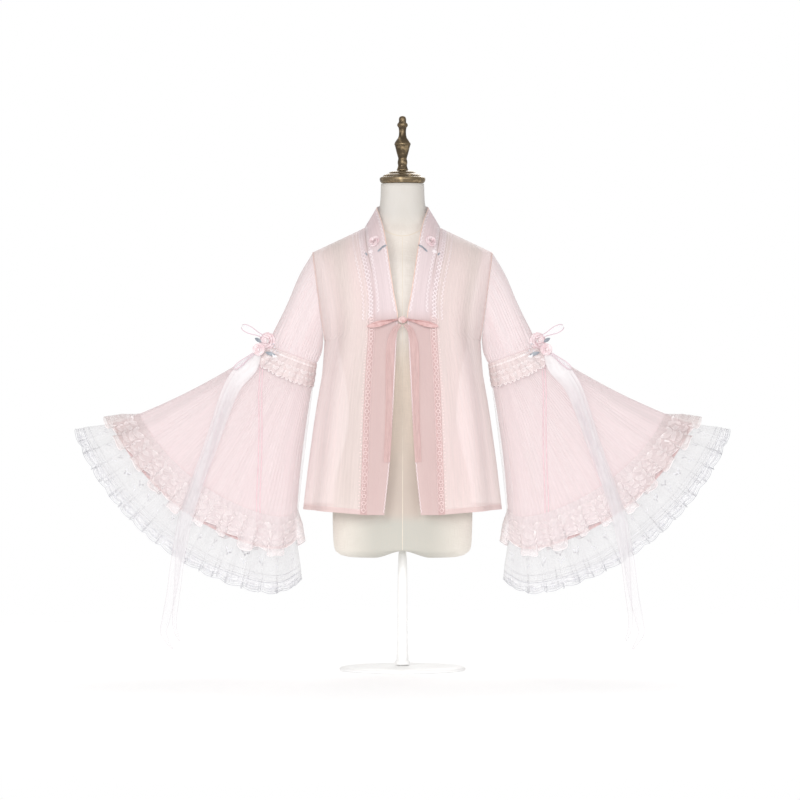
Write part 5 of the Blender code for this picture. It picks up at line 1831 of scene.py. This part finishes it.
def loop_sheet(loop, levels, columns, crease=0.0, drop=0.0, rounding=0.6):
    """A ribbon loop that leaves its root, turns at its tip and comes back behind.

    drop moves the near strand down and the far one up; rounding narrows the ribbon at the tip.
    """
    root = np.array(loop[:3]) * MIRROR
    tip = np.array(loop[3:6]) * MIRROR
    width, half_gap = loop[6:]
    reach = tip - root
    across = np.cross(ACROSS_FRONT, reach)
    across /= np.linalg.norm(across)
    shares = np.linspace(-1, 1, columns)
    rows = []
    for turn in np.linspace(0, math.pi, levels + 1):
        swell = math.sin(turn)
        opening = LOOP_ROOT_GAP + (1 - LOOP_ROOT_GAP) * swell
        broadness = LOOP_ROOT_WIDTH + (1 - LOOP_ROOT_WIDTH) * float(ease(swell * LOOP_WIDENING))
        middle = root + reach * swell ** LOOP_FULLNESS
        middle[1] -= half_gap * opening * math.cos(turn)
        middle[2] -= drop * opening * math.cos(turn) * math.sin(math.pi * min(swell, 0.85))
        half = width / 2 * broadness * (1 - rounding * swell ** 10)
        row = middle + across * half * shares[:, None]
        row[:, 1] -= crease * np.cos(shares * math.pi * 1.5) * (1 - swell) * math.cos(turn)
        rows.append(row)
    return np.array(rows)


def leaf_sheet(leaf):
    """A leaf that bulges along its middle vein, with a waved edge."""
    root = np.array(leaf[:3]) * MIRROR
    reach = np.array(leaf[3:]) * MIRROR - root
    across = np.cross(ACROSS_FRONT, reach)
    across /= np.linalg.norm(across)
    levels, columns = LEAF_GRID
    waves, wave = LEAF_WAVE
    shares = np.linspace(-1, 1, columns)
    rows = []
    for share in np.linspace(0.02, 0.98, levels):
        half = LEAF_WIDTH / 2 * math.sin(math.pi * share) ** 0.8 + 0.0003
        bulge = LEAF_WIDTH * LEAF_BULGE * (1 - np.abs(shares))
        bulge += wave * np.cos(share * waves) * np.abs(shares)
        row = root + reach * share + across * half * shares[:, None]
        rows.append(row - ACROSS_FRONT * (bulge[:, None] + RIBBON / 2))
    return np.array(rows)


def rose_frame(facing):
    facing = np.array(facing) * MIRROR
    facing = facing / np.linalg.norm(facing)
    sideways = np.cross(facing, (0.0, 0.0, 1.0))
    sideways /= np.linalg.norm(sideways)
    return facing, sideways, np.cross(sideways, facing)


def rose_work(place, facing, radius):
    """A ribbon rose of curled petals in rings, each turned against the last."""
    facing, sideways, upward = rose_frame(facing)
    place = np.array(place) * MIRROR
    tall, wide = ROSE_PETAL_GRID
    u, v = np.meshgrid(np.linspace(-1, 1, wide), np.linspace(0, 1, tall))
    corners = [row * wide + side for row in range(tall - 1) for side in range(wide - 1)]
    faces = [(low, low + 1, low + wide + 1, low + wide) for low in corners]
    work = Stitches()
    for petals, base, floor, length, half_width, lean, turn in ROSE_LAYERS:
        out = base + (length * v + ROSE_PETAL_CURL * v ** 4) * math.sin(lean)
        reach = radius * (out + ROSE_PETAL_CUP * u ** 2 * v)
        roll = ROSE_PETAL_ROLL * (v ** 4 + u ** 2 * v ** 2)
        rise = radius * (floor + length * v * math.cos(lean) - roll)
        half = half_width * radius * (ROSE_PETAL_ROOT + (1 - ROSE_PETAL_ROOT) * v)
        spread = u * half * np.sqrt(1 - 0.55 * v ** 4) / np.maximum(reach, radius * 0.12)
        for petal in range(petals):
            swing = TURN * petal / petals + turn + spread
            around = sideways * np.cos(swing)[..., None] + upward * np.sin(swing)[..., None]
            work.add(place + around * reach[..., None] + facing * rise[..., None], faces)
    work.bead(place + facing * radius * ROSE_BUD_RISE, radius * ROSE_BUD)
    return work


def collar_spot():
    """The place of the collar's rose on the left band, and the direction it faces, mirrored."""
    band = Surface(raised(band_sheet()), False)
    row = (len(band.points) - 1) * COLLAR_ROSE_LEVEL / SHOULDER_LEVEL
    column = COLLAR_ROSE_SHARE * (BAND_COLUMNS - 1)
    point, normal = band.at(np.array([column]), np.array([row]), COLLAR_ROSE_LIFT)
    return point[0] * MIRROR, normal[0] * MIRROR


def bead_work(collar_place):
    """Beads about the elbow's rose and below the collar's."""
    beads = Stitches()
    for x, y, height, radius in BEADS:
        beads.bead((-x, y, height), radius)
    count, first, step, across, up, forward, radius = COLLAR_BEADS
    for angle in (first + step * order for order in range(count)):
        aside = (across * math.cos(angle), -forward, up * math.sin(angle))
        beads.bead(collar_place * MIRROR + aside, radius)
    return beads


def make_corsages(finishes):
    """Roses, leaves, beads, loops and long tails at each elbow, and the collar's small roses."""
    collar_place, collar_facing = collar_spot()
    roses = (
        ("rose", ROSE_PLACE, ROSE_FACING, ROSE_RADIUS),
        ("small_rose", SMALL_ROSE_PLACE, SMALL_ROSE_FACING, SMALL_ROSE_RADIUS),
        ("collar_rose", collar_place, collar_facing, COLLAR_ROSE_RADIUS),
    )
    strips = (
        ("outer_tail", ribbon_sheet(TAIL_OUTER, *TAIL_GRID, TAIL_FLUTE, TAIL_TWIST), "hung"),
        ("inner_tail", ribbon_sheet(TAIL_INNER, *TAIL_GRID, TAIL_FLUTE, -TAIL_TWIST), "hung"),
        ("upper_loop", loop_sheet(UPPER_LOOP, *LOOP_GRID), "folded"),
        ("lower_loop", loop_sheet(LOWER_LOOP, *LOOP_GRID), "folded"),
    )
    leaves = (("low_leaf", LOW_LEAF), ("high_leaf", HIGH_LEAF))
    for side, label in SIDES:
        for name, place, facing, radius in roses:
            work = rose_work(place, facing, radius * ROSE_FULLNESS)
            piece, node = f"{name}_petals_{label}", f"{name}_{label}"
            work.make(piece, side, finishes["rose"], "rose_ribbon", node)
        for name, leaf in leaves:
            points = for_side(leaf_sheet(leaf), side)
            item = sheet_object(f"{name}_blade_{label}", points, finishes["leaf"])
            ride(item, "leaf", f"{name}_{label}")
        points = for_side(leaf_sheet(WHITE_FOLD), side)
        ride(sheet_object(f"white_fold_{label}", points, finishes["white_thread"]), "organza")
        for name, points, held in strips:
            finish = finishes["organza" if held == "hung" else "loop_organza"]
            item = sheet_object(f"{name}_ribbon_{label}", for_side(points, side), finish)
            hang(item, "organza", f"{name}_{label}")
        bead_work(collar_place).make(f"beads_{label}", side, finishes["bead"], "leaf")


def make_knot(material):
    """The bow's knot: a small pad with folds across it."""
    steps, sides = KNOT_GRID
    count, start, depth = KNOT_FOLDS
    turns = np.linspace(KNOT_END, math.pi - KNOT_END, steps)[:, None]
    angles = np.arange(sides) / sides * TURN
    folds = 1 - depth + depth * np.cos(count * angles + start) * np.sin(turns) ** 2
    x = np.sin(turns) * np.cos(angles) * folds
    y = np.sin(turns) * np.sin(angles) * folds
    z = -np.cos(turns) * np.ones_like(x)
    points = np.stack((x, y, z), axis=2) * KNOT_RADII + (0, BOW_Y, BOW_HEIGHT)
    item = sheet_object("knot", points, material, closed=True, caps="both")
    ride(item, "satin", "bow_knot")


def make_bow(finishes):
    make_knot(finishes["knot"])
    strips = (
        ("bow_loop", loop_sheet(BOW_LOOP, *BOW_LOOP_MAKE), "satin", "folded"),
        ("bow_tail", ribbon_sheet(BOW_TAIL, *BOW_TAIL_MAKE), "bow_tail", "hung"),
    )
    for side, label in SIDES:
        for name, points, finish, held in strips:
            item = sheet_object(f"{name}_ribbon_{label}", for_side(points, side), finishes[finish])
            hang(item, "satin", f"{name}_{label}")


# Studio

def make_world():
    """An even white background, dimmer as light than as seen, so that the lamps shape the cloth."""
    world = bpy.data.worlds.new("White studio")
    bpy.context.scene.world = world
    world.use_nodes = True
    tree = world.node_tree
    tree.nodes.clear()
    seen = tree.nodes.new("ShaderNodeBackground")
    seen.inputs["Strength"].default_value = 1.0
    lit = tree.nodes.new("ShaderNodeBackground")
    lit.inputs["Strength"].default_value = SKY_STRENGTH
    for background in (seen, lit):
        background.inputs["Color"].default_value = (1.0, 1.0, 1.0, 1.0)
    path = tree.nodes.new("ShaderNodeLightPath")
    blend = tree.nodes.new("ShaderNodeMixShader")
    output = tree.nodes.new("ShaderNodeOutputWorld")
    tree.links.new(path.outputs["Is Camera Ray"], blend.inputs[0])
    tree.links.new(lit.outputs[0], blend.inputs[1])
    tree.links.new(seen.outputs[0], blend.inputs[2])
    tree.links.new(blend.outputs[0], output.inputs["Surface"])


def make_lamp(name, place, target, size, watts, colour):
    data = bpy.data.lights.new(name, "AREA")
    data.shape = "DISK"
    data.size = size
    data.energy = watts
    data.color = colour
    lamp = bpy.data.objects.new(name, data)
    lamp.location = place
    aim = mathutils.Vector(target) - mathutils.Vector(place)
    lamp.rotation_euler = aim.to_track_quat("-Z", "Y").to_euler()
    bpy.context.scene.collection.objects.link(lamp)


def make_studio():
    make_world()
    for lamp in LAMPS:
        make_lamp(*lamp)
    data = bpy.data.cameras.new("Camera")
    data.lens = CAMERA_LENS
    data.sensor_width = CAMERA_SENSOR
    camera = bpy.data.objects.new("Camera", data)
    camera.location = CAMERA_PLACE
    camera.rotation_euler = (math.pi / 2, 0.0, 0.0)
    bpy.context.scene.collection.objects.link(camera)
    bpy.context.scene.camera = camera
    bpy.context.scene.view_settings.view_transform = "Standard"
    angles = np.arange(96) / 96 * TURN
    rings = [
        np.stack((reach * np.cos(angles), reach * np.sin(angles), 0 * angles), axis=1)
        for reach in np.linspace(0.2, FLOOR_RADIUS, 12)
    ]
    floor = sheet_object("Floor", np.array(rings)[::-1], floor_paper(), closed=True, caps="last")
    floor.location.z = -FLOOR_GAP


def make_finishes():
    return {
        "linen": linen(),
        "linen_thread": embroidery("Form thread", (236, 227, 212), (226, 216, 200)),
        # The cap's bronze is the finial's bronze painted lighter, as painted light on its flatter,
        # upward-facing top.
        "cap_bronze_painted_light": bronze("Cap bronze", (114, 99, 79), (242, 217, 174)),
        "bronze": bronze("Aged bronze", (92, 79, 61), (220, 194, 152)),
        "paint": white_paint(),
        "body": chiffon(
            "Body chiffon", (249, 229, 228), (245, 222, 221), 0.66, 0.74, "first", True,
            drifts=(236, 220, 216),
        ),
        "band": chiffon(
            "Band chiffon", (217, 189, 187), (206, 178, 176), 0.80, 0.90,
            upper=((229, 211, 214), (231, 209, 212)),
        ),
        "sleeve": chiffon("Sleeve chiffon", (243, 225, 227), (237, 215, 217), 0.46, 0.58),
        "bell": chiffon("Bell chiffon", (239, 218, 219), (235, 213, 215), 0.49, 0.57, "last"),
        "lining": netting(
            "Under tulle", (250, 249, 250), (242, 240, 242), 0.30, 0.08, TULLE_CELL
        ),
        # White tulle painted grey, as painted shade of its folds against the white.
        "tulle": netting("White tulle", (224, 222, 224), (208, 207, 210), 0.44, 0.12, TULLE_CELL),
        "frill_net": netting("Frill net", (250, 238, 237), (246, 231, 229), 0.75, 0.55, NET_CELL),
        # The tier's net grows darker towards the sleeve's tip as painted shade.
        "tier_net": netting(
            "Tier net", (250, 243, 244), (243, 232, 233), 0.66, 0.36, NET_CELL,
            tip_shade=(222, 206, 204),
        ),
        "border_net": netting("Border net", (244, 243, 245), (238, 237, 240), 0.45, 0.18, NET_CELL),
        "braid_net": netting(
            "Braid net", (226, 191, 189), (216, 180, 178), 0.85, 0.65, NET_CELL,
            upper=(235, 217, 219),
        ),
        "thread": embroidery("Ivory thread", (252, 246, 246), (243, 231, 231)),
        "braid_thread": embroidery("Braid thread", (242, 222, 221), (232, 208, 207)),
        "collar_thread": embroidery("Collar thread", (250, 241, 243), (240, 225, 229)),
        "white_thread": embroidery("White thread", (248, 247, 249), (236, 235, 238)),
        # White lace threads painted pale grey, as painted shade against the white.
        "pale_shade_thread": embroidery("Pale grey thread", (230, 229, 232), (212, 212, 217)),
        # Outline threads painted darker grey, as painted shade that outlines white lace.
        "grey_shade_thread": embroidery("Shaded thread", (198, 198, 204), (170, 171, 178)),
        # Peach piping at the armhole; along the neck opening the same satin is painted shade.
        "piping": satin("Peach piping", (238, 210, 196), (226, 192, 178)),
        "seam_ribbon": satin("Seam ribbon", (240, 206, 213), (232, 194, 202), cover=0.80),
        # The tails' organza grows whiter towards the elbow as painted light.
        "organza": film(
            "White organza", (229, 225, 228), (206, 196, 201), 0.38, 0.60, 0.0012,
            gathered=(250, 248, 249),
        ),
        "loop_organza": film("Loop organza", (240, 236, 240), (208, 180, 190), 0.25, 1.0, 0.0022),
        "satin": satin("Salmon satin", (222, 186, 184), (203, 159, 157)),
        "knot": satin("Pale satin", (232, 206, 203), (206, 158, 155)),
        "bow_tail": film("Sheer bow ribbon", (214, 178, 175), (204, 160, 158), 0.68, 0.95, 0.0008),
        "rose": satin("Rose ribbon", (248, 234, 236), (232, 205, 209), roughness=0.45),
        "leaf": satin("Grey leaf", (166, 172, 180), (120, 127, 137), roughness=0.5),
        "bead": satin("Pearl bead", (238, 234, 238), (212, 206, 214), roughness=0.15),
    }


def main():
    finishes = make_finishes()
    make_studio()
    make_form(finishes["linen"], finishes["linen_thread"])
    turned_object("cap", CAP_PROFILE, finishes["cap_bronze_painted_light"], "bronze", "neck_cap")
    turned_object("knob", FINIAL_PROFILE, finishes["bronze"], "bronze", "finial")
    turned_object("base", BASE_PROFILE, finishes["paint"], "white_paint", "stand_base")
    turned_object("pole", POLE_PROFILE, finishes["paint"], "white_paint", "stand_pole")
    make_body(finishes)
    make_sleeves(finishes)
    make_corsages(finishes)
    make_bow(finishes)


main()
